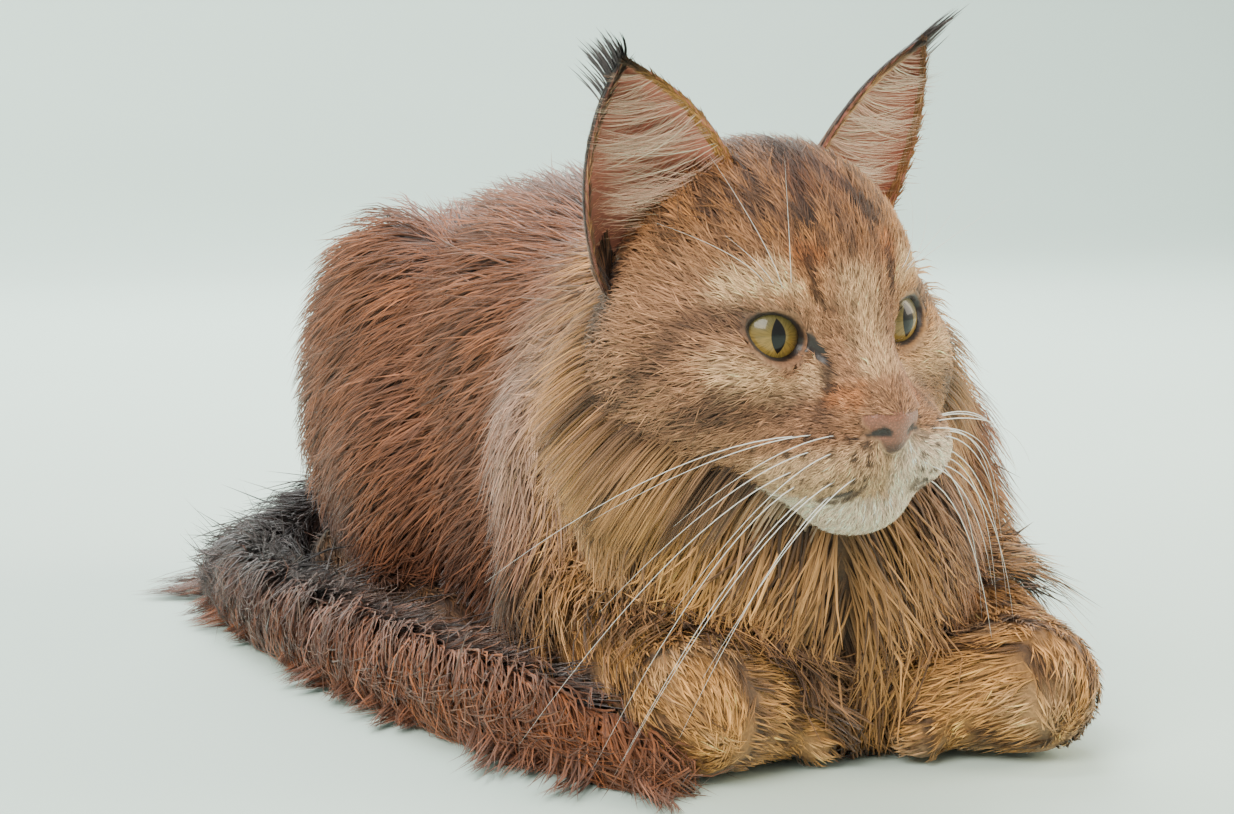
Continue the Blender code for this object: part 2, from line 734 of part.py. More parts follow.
def sample_roots(thing, spacing, allowed, draw):
    """Points spread over a mesh at about even spacing, where they are allowed."""
    mesh = thing.data
    mesh.calc_loop_triangles()
    corners = np.array([v.co[:] for v in mesh.vertices])
    triangles = np.array([t.vertices[:] for t in mesh.loop_triangles])
    first, second, third = (corners[triangles[:, k]] for k in range(3))
    faces = np.cross(second - first, third - first)
    areas = np.linalg.norm(faces, axis=1)
    chosen = draw.choice(len(triangles), size=ROOTS_DRAWN, p=areas / areas.sum())
    u, v = draw.random(ROOTS_DRAWN), draw.random(ROOTS_DRAWN)
    flip = u + v > 1.0
    u[flip], v[flip] = 1.0 - u[flip], 1.0 - v[flip]
    spots = first[chosen] + (second - first)[chosen] * u[:, None] + (third - first)[chosen] * v[:, None]
    outward = unit(faces[chosen])
    good = allowed(spots, outward)
    kept = []
    for index in np.nonzero(good)[0]:
        if all(np.sum((spots[index] - spots[other]) ** 2) > spacing * spacing for other in kept):
            kept.append(index)
    return spots[kept]


def open_to_air(field, lowest):
    """Test for roots on the outside of the body, clear of seams and of the floor."""
    def allowed(spots, outward):
        free = field(spots + outward * 0.004) > field(spots) + 0.003
        return free & (spots[:, 2] > lowest)
    return allowed


def grow_locks(thing, field, lie, neighbours, spacing, size, tip_height, lowest, draw, cutters):
    """Grow locks over one node, clear of its neighbours, and fuse them to it."""
    length, width, depth, sink = size
    roots = sample_roots(thing, spacing, open_to_air(field, lowest), draw)
    count = len(roots)
    lengths = length * draw.uniform(0.75, 1.2, count)
    widths = width * draw.uniform(0.8, 1.25, count)
    tips = tip_height * draw.uniform(0.75, 1.15, count)
    yaws = draw.normal(0.0, 0.16, count)
    fused = bpy.data.collections.new("locks_" + thing.name)
    cutters.children.link(fused)
    waiting = list(range(count))
    for share in (1.0, 0.8, 0.62, 0.45):
        if not waiting:
            break
        chosen = np.array(waiting)
        depths = np.full(len(chosen), sink)
        paths, normals = grow_paths(
            field, lie, roots[chosen], lengths[chosen] * share, depths, tips[chosen], yaws[chosen])
        refused = []
        for row, index in enumerate(chosen):
            wide = widths[index] * (0.5 + 0.5 * share)
            grown = lock_shape(paths[row], normals[row], wide, depth, CLEARANCE)
            tree = BVHTree.FromPolygons(*grown)
            if any(tree.overlap(other) for other in neighbours):
                refused.append(index)
                continue
            mesh = bpy.data.meshes.new("lock")
            corners, faces = lock_shape(paths[row], normals[row], wide, depth)
            mesh.from_pydata(corners, [], faces)
            tidy_normals(mesh)
            fused.objects.link(bpy.data.objects.new("lock", mesh))
        waiting = refused
    trees = [tree_of(lock) for lock in fused.objects]
    fuse(thing, fused)
    if thing.name.startswith(("hindleg", "tail")):
        drop_slivers(thing)
    return trees


def fuse(thing, pieces):
    """Join a collection of closed pieces to a node with one Boolean union."""
    boolean(thing, pieces, "UNION")
    for piece in list(pieces.objects):
        bpy.data.objects.remove(piece)
    bpy.data.collections.remove(pieces)


def drop_slivers(thing):
    """Thin out the slivers that a union leaves on flat faces, where the node stays closed."""
    whole = thing.data.copy()
    for share in SLIVERS_KEPT:
        thin_out(thing, share * len(whole.polygons), smoothing=0)
        keep_largest(thing)
        if not faults(thing.data):
            break
        thing.data = whole.copy()


def cover_with_locks(nodes, cutters):
    """Long hair of the haunches, ruff, flanks and tail, each clear of what is already there."""
    draw = np.random.default_rng(SEED)
    cores = {name: tree_of(thing) for name, thing in nodes.items()}
    grown = {}

    def neighbours(own):
        return [cores[name] for name in cores if name != own] + [t for name in grown for t in grown[name]]

    for name, lie, field, spacing, tip_height, size in LOCK_PLAN:
        lowest = LOWEST_ROOT[field]
        grown[name] = grow_locks(
            nodes[name], field, lie, neighbours(name), spacing, size, tip_height, lowest, draw, cutters)


def ear_tuft(ear, side, draw, cutters):
    """The fan of long dark hairs on the tip of an ear."""
    fused = bpy.data.collections.new("tuft_" + ear.name)
    cutters.children.link(fused)
    turn = np.array(head_matrix())
    for index in range(EAR_TUFTS):
        fan = index / (EAR_TUFTS - 1) - 0.5
        start = ear_point(0.5 * fan, 0.90 - 0.08 * abs(fan), side)
        start[1] += 0.0004
        heading = np.array((side * (0.65 + 0.55 * fan), 0.15, 1.0 - 0.25 * abs(fan)))
        heading /= np.linalg.norm(heading)
        length = EAR_TUFT_LENGTH * draw.uniform(0.8, 1.1)
        steps = np.arange(LOCK_SECTIONS + 1)[:, None] / LOCK_SECTIONS
        path = start + heading * length * steps + np.array((side * 0.004, 0.002, -0.001)) * steps ** 2
        path = path @ turn[:3, :3].T + turn[:3, 3]
        normals = np.tile(turn[:3, :3] @ np.array((0.0, -1.0, 0.2)), (LOCK_SECTIONS + 1, 1))
        corners, faces = lock_shape(path, normals, EAR_TUFT_WIDTH, EAR_TUFT_DEPTH)
        mesh = bpy.data.meshes.new("tuft")
        mesh.from_pydata(corners, [], faces)
        tidy_normals(mesh)
        fused.objects.link(bpy.data.objects.new("tuft", mesh))
    fuse(ear, fused)


# The lowest place of a root over the floor
LOWEST_ROOT = {body_field: 0.016, tail_field: 0.004}
# Node, lie of its hair, form it lies over, spacing of the roots, height of the tips and size
LOCK_PLAN = (
    ("hindleg_left", haunch_lie, body_field, 0.030, HAUNCH_COAT, HAUNCH_LOCK),
    ("hindleg_right", haunch_lie, body_field, 0.030, HAUNCH_COAT, HAUNCH_LOCK),
    ("neck", trunk_lie, body_field, 0.022, 0.018, RUFF_LOCK),
    ("torso", trunk_lie, body_field, 0.037, TRUNK_COAT, FLANK_LOCK),
    ("tail_base", tail_lie, tail_field, 0.021, 0.014, TAIL_LOCK),
    ("tail_middle", tail_lie, tail_field, 0.020, 0.016, TAIL_LOCK),
    ("tail_tip", tail_lie, tail_field, 0.020, 0.014, TAIL_LOCK),
)


def split(thing, through, normal, keep, cutters):
    """Keep the part on one side of a plane, half a gap away from it."""
    block = slab("split_" + thing.name, through, normal, -keep, cutters)
    boolean(thing, block, "DIFFERENCE")
    bpy.data.objects.remove(block)


def level_feet(things, cutters):
    """Cut the flats that rest on the floor."""
    floor = box("floor_cut", (-0.6, -0.6, -0.2), (0.6, 0.6, 0.0), cutters)
    for thing in things:
        boolean(thing, floor, "DIFFERENCE")
    floor.hide_render = True
    floor.display_type = "WIRE"


def material(name, colour, roughness=0.8):
    finish = bpy.data.materials.new(name)
    finish.use_nodes = True
    shader = finish.node_tree.nodes["Principled BSDF"]
    shader.inputs["Base Color"].default_value = (*colour, 1.0)
    shader.inputs["Roughness"].default_value = roughness
    finish.diffuse_color = (*colour, 1.0)
    return finish


COLOURS = {
    "head": (0.42, 0.31, 0.21), "neck": (0.45, 0.31, 0.19), "torso": (0.30, 0.19, 0.12),
    "foreleg_left": (0.48, 0.33, 0.17), "foreleg_right": (0.46, 0.31, 0.16),
    "hindleg_left": (0.27, 0.17, 0.11), "hindleg_right": (0.27, 0.17, 0.11),
    "tail_base": (0.07, 0.045, 0.035), "tail_middle": (0.15, 0.08, 0.05), "tail_tip": (0.24, 0.12, 0.07),
    "ear_left": (0.55, 0.38, 0.32), "ear_right": (0.55, 0.38, 0.32),
    "eye_left": (0.42, 0.40, 0.06), "eye_right": (0.42, 0.40, 0.06),
}


def build():
    for thing in list(bpy.data.objects):
        bpy.data.objects.remove(thing)
    scene = bpy.context.scene
    scene.unit_settings.system = "METRIC"
    parts = bpy.data.collections.new(OBJECT_NAME)
    cutters = bpy.data.collections.new("cutters")
    scene.collection.children.link(parts)
    scene.collection.children.link(cutters)

    eyes = [make_eye(side, parts) for side in (1, -1)]
    head = make_head(eyes, parts, cutters)
    ears = [make_ear(side, head, parts, cutters) for side in (1, -1)]
    forelegs = [make_foreleg(side, parts) for side in (1, -1)]
    hindlegs = [make_hindleg(side, parts) for side in (1, -1)]
    neck = make_trunk(parts)
    cut_away(neck, [head] + ears + forelegs + hindlegs, cutters)
    neck.name = "neck"
    torso = link(neck.data.copy(), "torso", parts)
    split(neck, NECK_SEAM_POINT, NECK_SEAM_NORMAL, 1, cutters)
    split(torso, NECK_SEAM_POINT, NECK_SEAM_NORMAL, -1, cutters)
    body = [torso, neck] + forelegs + hindlegs
    tail = make_tail(body, parts, cutters)
    level_feet(body + tail, cutters)
    cover_with_locks({thing.name: thing for thing in parts.objects}, cutters)
    draw = np.random.default_rng(SEED + 1)
    for ear, side in zip(ears, (1, -1)):
        ear_tuft(ear, side, draw, cutters)

    for thing in parts.objects:
        finish = material("coat_" + thing.name, COLOURS[thing.name], 0.1 if "eye" in thing.name else 0.85)
        thing.data.materials.clear()
        thing.data.materials.append(finish)
        thing.data.name = thing.name


build()
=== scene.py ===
"""Skin, coat, eyes and whiskers of a Maine Coon cat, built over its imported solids.

Laid out as a Blender add-on and run as a script. Skin is meshed from the same blended
masses as the solids, but inside them by the depth of the fur. Fur is joined, tapered tufts
that are combed over that skin along the lie of the coat and drawn together into clumps.
"""

import math

import bmesh
import bpy
import numpy as np
import openvdb
from mathutils import Euler, Matrix, Vector
from mathutils.kdtree import KDTree


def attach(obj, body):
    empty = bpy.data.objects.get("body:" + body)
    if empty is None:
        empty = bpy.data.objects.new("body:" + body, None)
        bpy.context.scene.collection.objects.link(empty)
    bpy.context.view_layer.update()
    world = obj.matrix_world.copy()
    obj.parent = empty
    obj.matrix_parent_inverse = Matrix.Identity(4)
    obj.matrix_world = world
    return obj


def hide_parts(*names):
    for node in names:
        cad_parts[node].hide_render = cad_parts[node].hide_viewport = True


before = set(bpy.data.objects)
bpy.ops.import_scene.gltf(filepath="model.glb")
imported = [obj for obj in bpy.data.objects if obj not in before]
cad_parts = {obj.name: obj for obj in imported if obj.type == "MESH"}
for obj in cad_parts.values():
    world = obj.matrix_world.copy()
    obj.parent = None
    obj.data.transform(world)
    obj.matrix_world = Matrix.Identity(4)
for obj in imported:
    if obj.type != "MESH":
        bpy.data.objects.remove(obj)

bl_info = {
    "name": "Maine Coon Cat",
    "version": (1, 0, 0),
    "blender": (4, 5, 0),
    "location": "View3D > Sidebar > Cat",
    "description": "Builds the skin, coat, eyes and whiskers of a lying long-haired cat",
    "category": "Add Mesh",
}

# Driving sizes, in metres, the same as those of the solids

MM = 0.001
SEED = 41
BACK_HEIGHT = 0.183
BODY_HALF_WIDTH = 0.082
HAUNCH_HALF_WIDTH = 0.096
RUMP_Y = 0.240
HEAD_CENTRE = (-0.034, -0.1645, 0.139)
HEAD_YAW = math.radians(7.5)
HEAD_PITCH = math.radians(4.0)
HEAD_ROLL = math.radians(-3.3)
TRUNK_COAT = 0.015
HAUNCH_COAT = 0.014
LEG_COAT = 0.005
FACE_COAT = 0.002
EYE_RADIUS = 0.0110
EYE_SPACING = 0.043
EYE_FORWARD = 0.0245
EYE_RISE = 0.0035
EYE_DIVERGENCE = math.radians(11.0)
LID_THICKNESS = 0.0019

# How far the skin lies inside the solids where the fur is short
LEG_SKIN = 0.0030
FACE_SKIN = 0.0014
TAIL_SKIN_SHARE = 0.42
FLOOR = 0.0008


# Fields: each gives the distance of points from a form, below zero inside it

def ellipsoid(points, centre, radii, turn=(0.0, 0.0, 0.0)):
    """Distance from an ellipsoid, turned by Euler angles."""
    local = (points - np.array(centre)) @ np.array(Euler(turn).to_matrix())
    scaled = np.linalg.norm(local / np.array(radii), axis=1)
    slope = np.linalg.norm(local / np.array(radii) ** 2, axis=1)
    return scaled * (scaled - 1.0) / np.maximum(slope, 1e-9)


def limb(points, start, end, start_radius, end_radius):
    """Distance from a tapered rod with round ends."""
    start = np.array(start)
    axis = np.array(end) - start
    along = np.clip((points - start) @ axis / (axis @ axis), 0.0, 1.0)
    nearest = start + along[:, None] * axis
    return np.linalg.norm(points - nearest, axis=1) - (start_radius + along * (end_radius - start_radius))


def blend(first, second, width):
    """Union of two fields with a soft fillet of the given width."""
    overlap = np.maximum(width - np.abs(first - second), 0.0) / width
    return np.minimum(first, second) - overlap * overlap * width * 0.25


def carve(first, second, width):
    """The first field with the second taken away, with a soft edge."""
    return -blend(-first, second, width)


def chain(points, route, radii):
    """A bent limb through several points."""
    field = limb(points, route[0], route[1], radii[0], radii[1])
    for index in range(1, len(route) - 1):
        piece = limb(points, route[index], route[index + 1], radii[index], radii[index + 1])
        field = np.minimum(field, piece)
    return field


def rounded_route(route, steps):
    """A smooth curve through the given places, with steps stretches between each two."""
    route = [np.array(place, dtype=float) for place in route]
    padded = [2 * route[0] - route[1]] + route + [2 * route[-1] - route[-2]]
    curve = []
    for index in range(1, len(padded) - 2):
        before, start, end, after = padded[index - 1:index + 3]
        for step in range(steps):
            t = step / steps
            curve.append(0.5 * (2 * start + (end - before) * t
                                + (2 * before - 5 * start + 4 * end - after) * t * t
                                + (3 * start - before - 3 * end + after) * t * t * t))
    curve.append(route[-1])
    return curve


# Flesh of the body

def trunk_field(points):
    """Barrel, rump, shoulders, chest and neck as one flowing form."""
    top = BACK_HEIGHT - TRUNK_COAT
    width = BODY_HALF_WIDTH - TRUNK_COAT
    field = ellipsoid(points, (0.0, 0.045, top - 0.074), (width, 0.125, 0.074))
    masses = (
        ellipsoid(points, (0.0, RUMP_Y - TRUNK_COAT - 0.085, 0.080), (width, 0.085, 0.066)),
        ellipsoid(points, (0.0, 0.035, 0.040), (width, 0.165, 0.052)),
        ellipsoid(points, (-0.006, -0.070, 0.088), (0.056, 0.062, 0.062)),
        ellipsoid(points, (-0.008, -0.128, 0.050), (0.044, 0.048, 0.060)),
        limb(points, (-0.004, -0.060, 0.106), (-0.034, -0.122, 0.118), 0.048, 0.040),
        ellipsoid(points, (-0.028, -0.146, 0.080), (0.044, 0.036, 0.042)),
    )
    for mass in masses:
        field = blend(field, mass, 0.035)
    return field


def foreleg_route(side):
    """Shoulder, elbow, wrist and paw end of one foreleg; the paws fold inwards."""
    if side < 0:
        elbow, wrist, paw = (-0.058, -0.085, 0.034), (-0.062, -0.172, 0.022), (-0.030, -0.163, 0.018)
    else:
        elbow, wrist, paw = (0.060, -0.090, 0.034), (0.046, -0.186, 0.022), (0.016, -0.172, 0.018)
    return (side * 0.052, -0.072, 0.085), elbow, wrist, paw


def foreleg_field(points, side):
    """Upper arm, forearm and the paw with its toes."""
    shoulder, elbow, wrist, paw = (np.array(place) for place in foreleg_route(side))
    field = limb(points, shoulder, elbow, 0.028, 0.023)
    field = blend(field, limb(points, elbow, wrist, 0.023, 0.017), 0.012)
    field = blend(field, limb(points, wrist, paw, 0.017, 0.0135), 0.008)
    forward = (paw - wrist) / np.linalg.norm(paw - wrist)
    across = np.array((forward[1], -forward[0], 0.0))
    for toe in range(4):
        offset = (toe - 1.5) * 0.0078
        centre = paw + forward * (0.006 - abs(toe - 1.5) * 0.0025) + across * offset
        centre[2] = 0.0105
        field = blend(field, ellipsoid(points, centre, (0.0062, 0.0062, 0.0075)), 0.0015)
    return field - (LEG_COAT - LEG_SKIN)


def haunch_field(points, side):
    haunch_x = side * (HAUNCH_HALF_WIDTH - HAUNCH_COAT - 0.032)
    haunch = ellipsoid(points, (haunch_x, 0.126, 0.082), (0.032, 0.076, 0.074), (0.12, 0.0, 0.0))
    knee = ellipsoid(points, (side * 0.066, 0.068, 0.052), (0.019, 0.034, 0.036))
    return blend(haunch, knee, 0.03)


def hind_foot_field(points, side):
    """The long hind foot, flat on the floor, with its toes."""
    field = limb(points, (side * 0.070, 0.150, 0.019), (side * 0.072, 0.022, 0.013), 0.013, 0.0105)
    for toe in range(4):
        offset = (toe - 1.5) * 0.0075
        centre = (side * 0.072 + offset, 0.014 + abs(toe - 1.5) * 0.0025, 0.0105)
        field = blend(field, ellipsoid(points, centre, (0.0060, 0.0085, 0.0075)), 0.0015)
    return field - (LEG_COAT - LEG_SKIN)


TAIL_ROUTE = (
    (-0.010, 0.190), (-0.050, 0.220), (-0.088, 0.205), (-0.111, 0.155), (-0.117, 0.085),
    (-0.115, 0.005), (-0.107, -0.070), (-0.095, -0.130), (-0.080, -0.178))
TAIL_COAT_RADII = (0.036, 0.030, 0.0225, 0.021, 0.0225, 0.0235, 0.023, 0.020, 0.011)
TAIL_CORE_SHARE = 0.62
TAIL_ROOT_HEIGHT = 0.020


def tail_curve():
    """Places and skin radii along the tail, laid on the floor."""
    sized = []
    for place, radius in zip(TAIL_ROUTE, TAIL_COAT_RADII):
        lift = TAIL_ROOT_HEIGHT if len(sized) == 0 else TAIL_ROOT_HEIGHT / 3 * (len(sized) == 1)
        sized.append((*place, radius * TAIL_CORE_SHARE + lift, radius * TAIL_SKIN_SHARE))
    return rounded_route(sized, 3)


def tail_field(points):
    curve = tail_curve()
    return chain(points, [place[:3] for place in curve], [place[3] for place in curve])


# The head, in its own frame: -Y to the nose, +X its left, centre of the skull at zero

def head_matrix():
    turn = (Matrix.Rotation(HEAD_YAW, 4, "Z") @ Matrix.Rotation(HEAD_PITCH, 4, "X")
            @ Matrix.Rotation(HEAD_ROLL, 4, "Y"))
    return Matrix.Translation(HEAD_CENTRE) @ turn


def to_head(points):
    """Points of the cat's frame in the head's own frame."""
    inverse = np.array(head_matrix().inverted())
    return points @ inverse[:3, :3].T + inverse[:3, 3]


def from_head(points):
    matrix = np.array(head_matrix())
    return points @ matrix[:3, :3].T + matrix[:3, 3]


def eye_frame(side):
    """Centre of an eyeball and its forward, side and up directions in the head's frame."""
    centre = np.array((side * EYE_SPACING / 2, -EYE_FORWARD, EYE_RISE))
    forward = np.array((side * math.sin(EYE_DIVERGENCE), -math.cos(EYE_DIVERGENCE), 0.06))
    forward /= np.linalg.norm(forward)
    outward = np.cross(forward, (0.0, 0.0, 1.0))
    outward *= side * np.sign(outward[0]) / np.linalg.norm(outward)
    rise = np.cross(outward, forward)
    rise *= np.sign(rise[2])
    return centre, forward, outward, rise


def lid_opening(points, side):
    """The almond between the lids, as a field that widens forwards from the eyeball."""
    centre, forward, outward, rise = eye_frame(side)
    local = points - centre
    depth = np.maximum(local @ forward, 0.002)
    across = (local @ outward) / depth
    height = (local @ rise) / depth
    tilt = height - 0.30 * across
    half_width = 1.10
    bow = np.clip(1.0 - (across / half_width) ** 2, 0.0, 1.0)
    upper = 0.66 * bow ** 0.62
    lower = -0.72 * bow ** 0.70
    outside = np.maximum(tilt - upper, lower - tilt)
    outside = np.maximum(outside, np.abs(across) - half_width)
    reach = np.linalg.norm(local, axis=1) - (EYE_RADIUS + LID_THICKNESS + 0.0022)
    opening = np.maximum(outside * depth * 0.8, 0.003 - local @ forward)
    return np.maximum(opening, reach)


def in_millimetres(points):
    """Head points in millimetres, as they are and with the right half mirrored on the left."""
    size = points / MM
    return size, np.column_stack((np.abs(size[:, 0]), size[:, 1], size[:, 2]))


def skull_field(size, mirrored):
    """Skull, brow, muzzle, whisker pads, chin and cheeks, in millimetres."""
    field = ellipsoid(size, (0, 8, 12), (42, 45, 42))
    masses = (
        (ellipsoid(size, (0, -18, 16), (27, 19, 21)), 16),
        (limb(size, (0, -28, 10), (0, -53, -15), 11.5, 8.0), 14),
        (ellipsoid(size, (0, -36, -24), (20, 20, 17)), 12),
        (ellipsoid(mirrored, (15, -38, -31), (14, 19, 14)), 10),
        (limb(size, (0, -5, -28), (0, -36, -40), 22, 15), 12),
        (ellipsoid(mirrored, (27, -9, -15), (23, 27, 25)), 14),
        (ellipsoid(mirrored, (36, 10, -12), (20, 25, 27)), 16),
        (ellipsoid(mirrored, (29, -21, -8), (13, 12, 9)), 8),
    )
    for mass, width in masses:
        field = blend(field, mass, width)
    return field


def nose_field(size, mirrored):
    """The nose leather with its wings, in millimetres."""
    nose = limb(mirrored, (0, -60.5, -25.5), (5.5, -59, -18.5), 3.6, 3.8)
    return blend(nose, limb(size, (0, -54, -13), (0, -61, -18), 6.5, 4.6), 5)


def lip_line(mirrored):
    """The cleft under the nose and the line of the mouth, in millimetres."""
    lips = chain(
        mirrored, ((0, -64.5, -38.0), (7, -62.5, -41.5), (15, -56, -41.5), (22, -45, -38.5)),
        (0.9, 1.0, 1.1, 0.8))
    cleft = limb(mirrored, (0, -66, -28), (0, -64.5, -37.5), 0.8, 0.8)
    return np.minimum(lips, cleft)


def eye_corner(mirrored):
    """The dark inner corner of the eye, drawn out towards the nose, in millimetres."""
    return chain(
        mirrored, ((16.8, -39.8, 2.6), (14.6, -41.4, 0.2), (12.7, -43.1, -1.7), (11.5, -45.2, -3.6)),
        (2.4, 2.4, 1.9, 1.1))


def nostril_field(mirrored):
    return chain(mirrored, ((3.2, -66, -23.2), (5.2, -63.4, -22.3), (8.6, -60.6, -23.0)), (1.5, 1.6, 0.7))


def face_field(points):
    """Skin of the head with its lids, nose, mouth line and nostrils, in metres."""
    size, mirrored = in_millimetres(points)
    field = skull_field(size, mirrored) - (FACE_COAT - FACE_SKIN) / MM
    for side in (1, -1):
        centre = eye_frame(side)[0]
        lids = np.linalg.norm(points - centre, axis=1) - (EYE_RADIUS + LID_THICKNESS * 0.8)
        field = blend(field, lids / MM, 5)
    fur = FACE_SKIN / MM * 0.7
    pads = ellipsoid(mirrored, (11.5, -47, -31), (14.5 - fur, 15.5 - fur, 11.5 - fur))
    field = blend(field, pads, 7)
    field = blend(field, ellipsoid(size, (0, -42, -47), (15 - fur, 13.5 - fur, 10 - fur)), 6)
    field = blend(field, nose_field(size, mirrored), 2.0)
    for side in (1, -1):
        field = carve(field, lid_opening(points, side) / MM, 1.0)
    field = carve(field, eye_corner(mirrored) + 0.7, 0.8)
    field = carve(field, nostril_field(mirrored), 0.8)
    return carve(field, lip_line(mirrored), 1.2) * MM


def head_field(points):
    return face_field(to_head(points))


def body_field(points):
    """Skin of everything but the head and ears."""
    field = trunk_field(points)
    for side in (1, -1):
        field = blend(field, foreleg_field(points, side), 0.010)
        field = blend(field, haunch_field(points, side), 0.006)
        field = np.minimum(field, hind_foot_field(points, side))
    return np.minimum(field, tail_field(points))


def cat_field(points):
    return np.minimum(body_field(points), head_field(points))


EAR_ROWS = 40
EAR_COLUMNS = 36
EAR_THICKNESS = 0.0012
EAR_FOCUS = (0.036, -0.030, 0.050)


def ear_point(across, up, side):
    """Points of the ear's cupped sheet in the cat's frame; across runs -1 inner to 1 outer."""
    tip = np.array((54.0, -1.0, 85.0))
    inner = np.array((9.0, 1.0, 42.0))
    outer = np.array((49.0, 22.0, 12.0))
    up = up[:, None]
    across = across[:, None]
    arch = np.sin(math.pi * up)
    inner_edge = inner + (tip - inner) * up + np.array((-2.0, -1.0, 5.0)) * arch
    outer_edge = outer + (tip - outer) * up + np.array((9.0, 1.0, 2.0)) * np.maximum(arch, 0.0) ** 0.8
    place = inner_edge * (1 - across) / 2 + outer_edge * (1 + across) / 2
    hollow = 19.0 * np.maximum(1.0 - up, 0.0) ** 0.6 * np.maximum(1.0 - across * across, 0.0) ** 0.8
    place = place + hollow * np.array((0.10, 0.97, 0.10))
    place[:, 0] *= side
    return from_head(place * MM)


# Colours, as a maker picks them on screen, turned into the linear values that Blender keeps

def screen(red, green, blue):
    def linear(value):
        share = value / 255.0
        return share / 12.92 if share <= 0.04045 else ((share + 0.055) / 1.055) ** 2.4
    return (linear(red), linear(green), linear(blue))


def colour_choice(label, use, red, green, blue):
    return bpy.props.FloatVectorProperty(
        name=label, description=use, subtype="COLOR", size=3, min=0.0, max=1.0,
        default=screen(red, green, blue))


class CatColours(bpy.types.PropertyGroup):
    """Colours of the coat, skin and eyes"""
    beige: colour_choice("Beige", "Ground of the cheeks and temples", 172, 124, 88)
    fawn: colour_choice("Fawn", "Ground of the forehead and crown", 148, 98, 52)
    pale: colour_choice("Pale", "Rings round the eyes and the bridge of the nose", 230, 186, 138)
    # The extra cream of the far whisker pad is painted light.
    cream: colour_choice("Cream", "Whisker pads and chin", 250, 218, 188)
    # Golden on the far side of the face is painted warm light.
    golden: colour_choice("Golden", "Ruff, chest and legs", 204, 146, 80)
    # Rust on the top of the rump is painted warm light.
    rust: colour_choice("Rust", "Patches on the brow, rump and tail fringe", 186, 104, 42)
    brown: colour_choice("Brown", "Flanks and back", 140, 88, 60)
    # Umber also paints shade low on the flanks, in the lower ruff and along the mouth.
    umber: colour_choice("Umber", "Shaded under coat and stripes", 66, 42, 30)
    # Black at the root of the tail is partly painted shadow under the haunch.
    black: colour_choice("Black", "Streaks of the face, ear tips and root of the tail", 34, 19, 14)
    # The cool patch on the neck is a painted sheen.
    lilac_sheen: colour_choice("Lilac", "Cool patch on the side of the neck", 204, 166, 144)
    leather: colour_choice("Nose leather", "Bare skin of the nose", 160, 102, 78)
    ear_pink: colour_choice("Ear skin", "Bare skin inside the ears", 224, 140, 116)
    # The top colour of the iris carries painted shade from the upper lid.
    iris_top_shaded: colour_choice("Iris, top", "Shaded upper part of the iris", 92, 84, 48)
    iris_low: colour_choice("Iris, bottom", "Bright lower part of the iris", 160, 126, 62)


class CoatSizes(bpy.types.PropertyGroup):
    """Amount and size of the fur"""
    head_tufts: bpy.props.IntProperty(
        name="Head tufts", description="Number of tufts on the head", default=38000, min=1000)
    body_tufts: bpy.props.IntProperty(
        name="Body tufts", description="Number of long tufts on trunk and haunches", default=32500, min=1000)
    leg_tufts: bpy.props.IntProperty(
        name="Leg tufts", description="Number of short tufts on legs and feet", default=14500, min=500)
    tail_tufts: bpy.props.IntProperty(
        name="Tail tufts", description="Number of long tufts on the tail", default=10000, min=500)
    long_hair: bpy.props.FloatProperty(
        name="Long hair", description="Length of the hair on the flanks", default=0.046, unit="LENGTH")
    ruff_hair: bpy.props.FloatProperty(
        name="Ruff hair", description="Length of the hair on neck and chest", default=0.052, unit="LENGTH")
    tail_hair: bpy.props.FloatProperty(
        name="Tail hair", description="Length of the hair of the tail", default=0.058, unit="LENGTH")
    leg_hair: bpy.props.FloatProperty(
        name="Leg hair", description="Length of the hair on the forearms", default=0.010, unit="LENGTH")
    clumping: bpy.props.FloatProperty(
        name="Clumping", description="How far tips are drawn together", default=0.62, min=0.0, max=1.0,
        subtype="FACTOR")


def colour(name):
    return np.array(getattr(bpy.context.scene.cat_colours, name))


def rows(values, count):
    """The same values for each of a number of points."""
    return np.tile(values, (count, 1))


def unit(vectors):
    return vectors / np.maximum(np.linalg.norm(vectors, axis=-1), 1e-9)[..., None]


def smooth(value, low, high):
    """Rise from 0 at low to 1 at high, with soft ends."""
    share = np.clip((value - low) / (high - low), 0.0, 1.0)
    return share * share * (3.0 - 2.0 * share)


def ripple(points, size, seed):
    """Seeded unevenness between about -1 and 1, with swells of the given size."""
    draw = np.random.default_rng(seed)
    total = np.zeros(len(points))
    for _wave in range(6):
        direction = unit(draw.normal(size=3))
        pace = 2 * math.pi / size * draw.uniform(0.7, 1.6)
        total += np.sin(points @ direction * pace + draw.uniform(0, 6.3))
    return total / 2.6


def mix(base, other, share):
    return base + (other - base) * np.clip(share, 0.0, 1.0)[:, None]


# Markings of the head, in millimetres and mirrored: route, half width and strength
FACE_STREAKS = (
    (((31, -33, 9), (42.5, -22, 6), (50, -18, -3), (56, -9, -12), (57, 12, -19)), 3.0, 0.62),
    (((40, -35, -15), (49.5, -21, -22), (54, -6, -27), (50, 18, -34)), 2.8, 0.42),
    (((51, 22, 22), (56, 14, 6)), 5.0, 0.75),
    (((3, -4, 55), (3, -16, 50), (7, -27, 43), (11, -34, 35)), 3.0, 0.85),
    (((14, -6, 53), (18, -18, 46), (21, -27, 38)), 2.4, 0.75),
    (((26, -4, 47), (30, -14, 38)), 2.6, 0.65),
    (((36, 4, 38), (40, -8, 28)), 2.6, 0.55),
    (((13.5, -38, 26), (13.5, -41, 19), (12.5, -43, 13)), 1.4, 0.80),
    (((12.5, -47, -4.0), (14.5, -49.5, -9)), 2.0, 0.85),
    (((14.5, -49.5, -9), (19, -52, -17)), 1.8, 0.45),
)
FACE_TICKED = (
    (((22, -44, -15), (32, -38, -16), (42, -28, -16)), 5.0, 0.55),
    (((14, -50, -16), (17, -52, -22)), 4.0, 0.35),
    (((4, -48, 2), (5, -44, 10)), 2.5, 0.30),
)
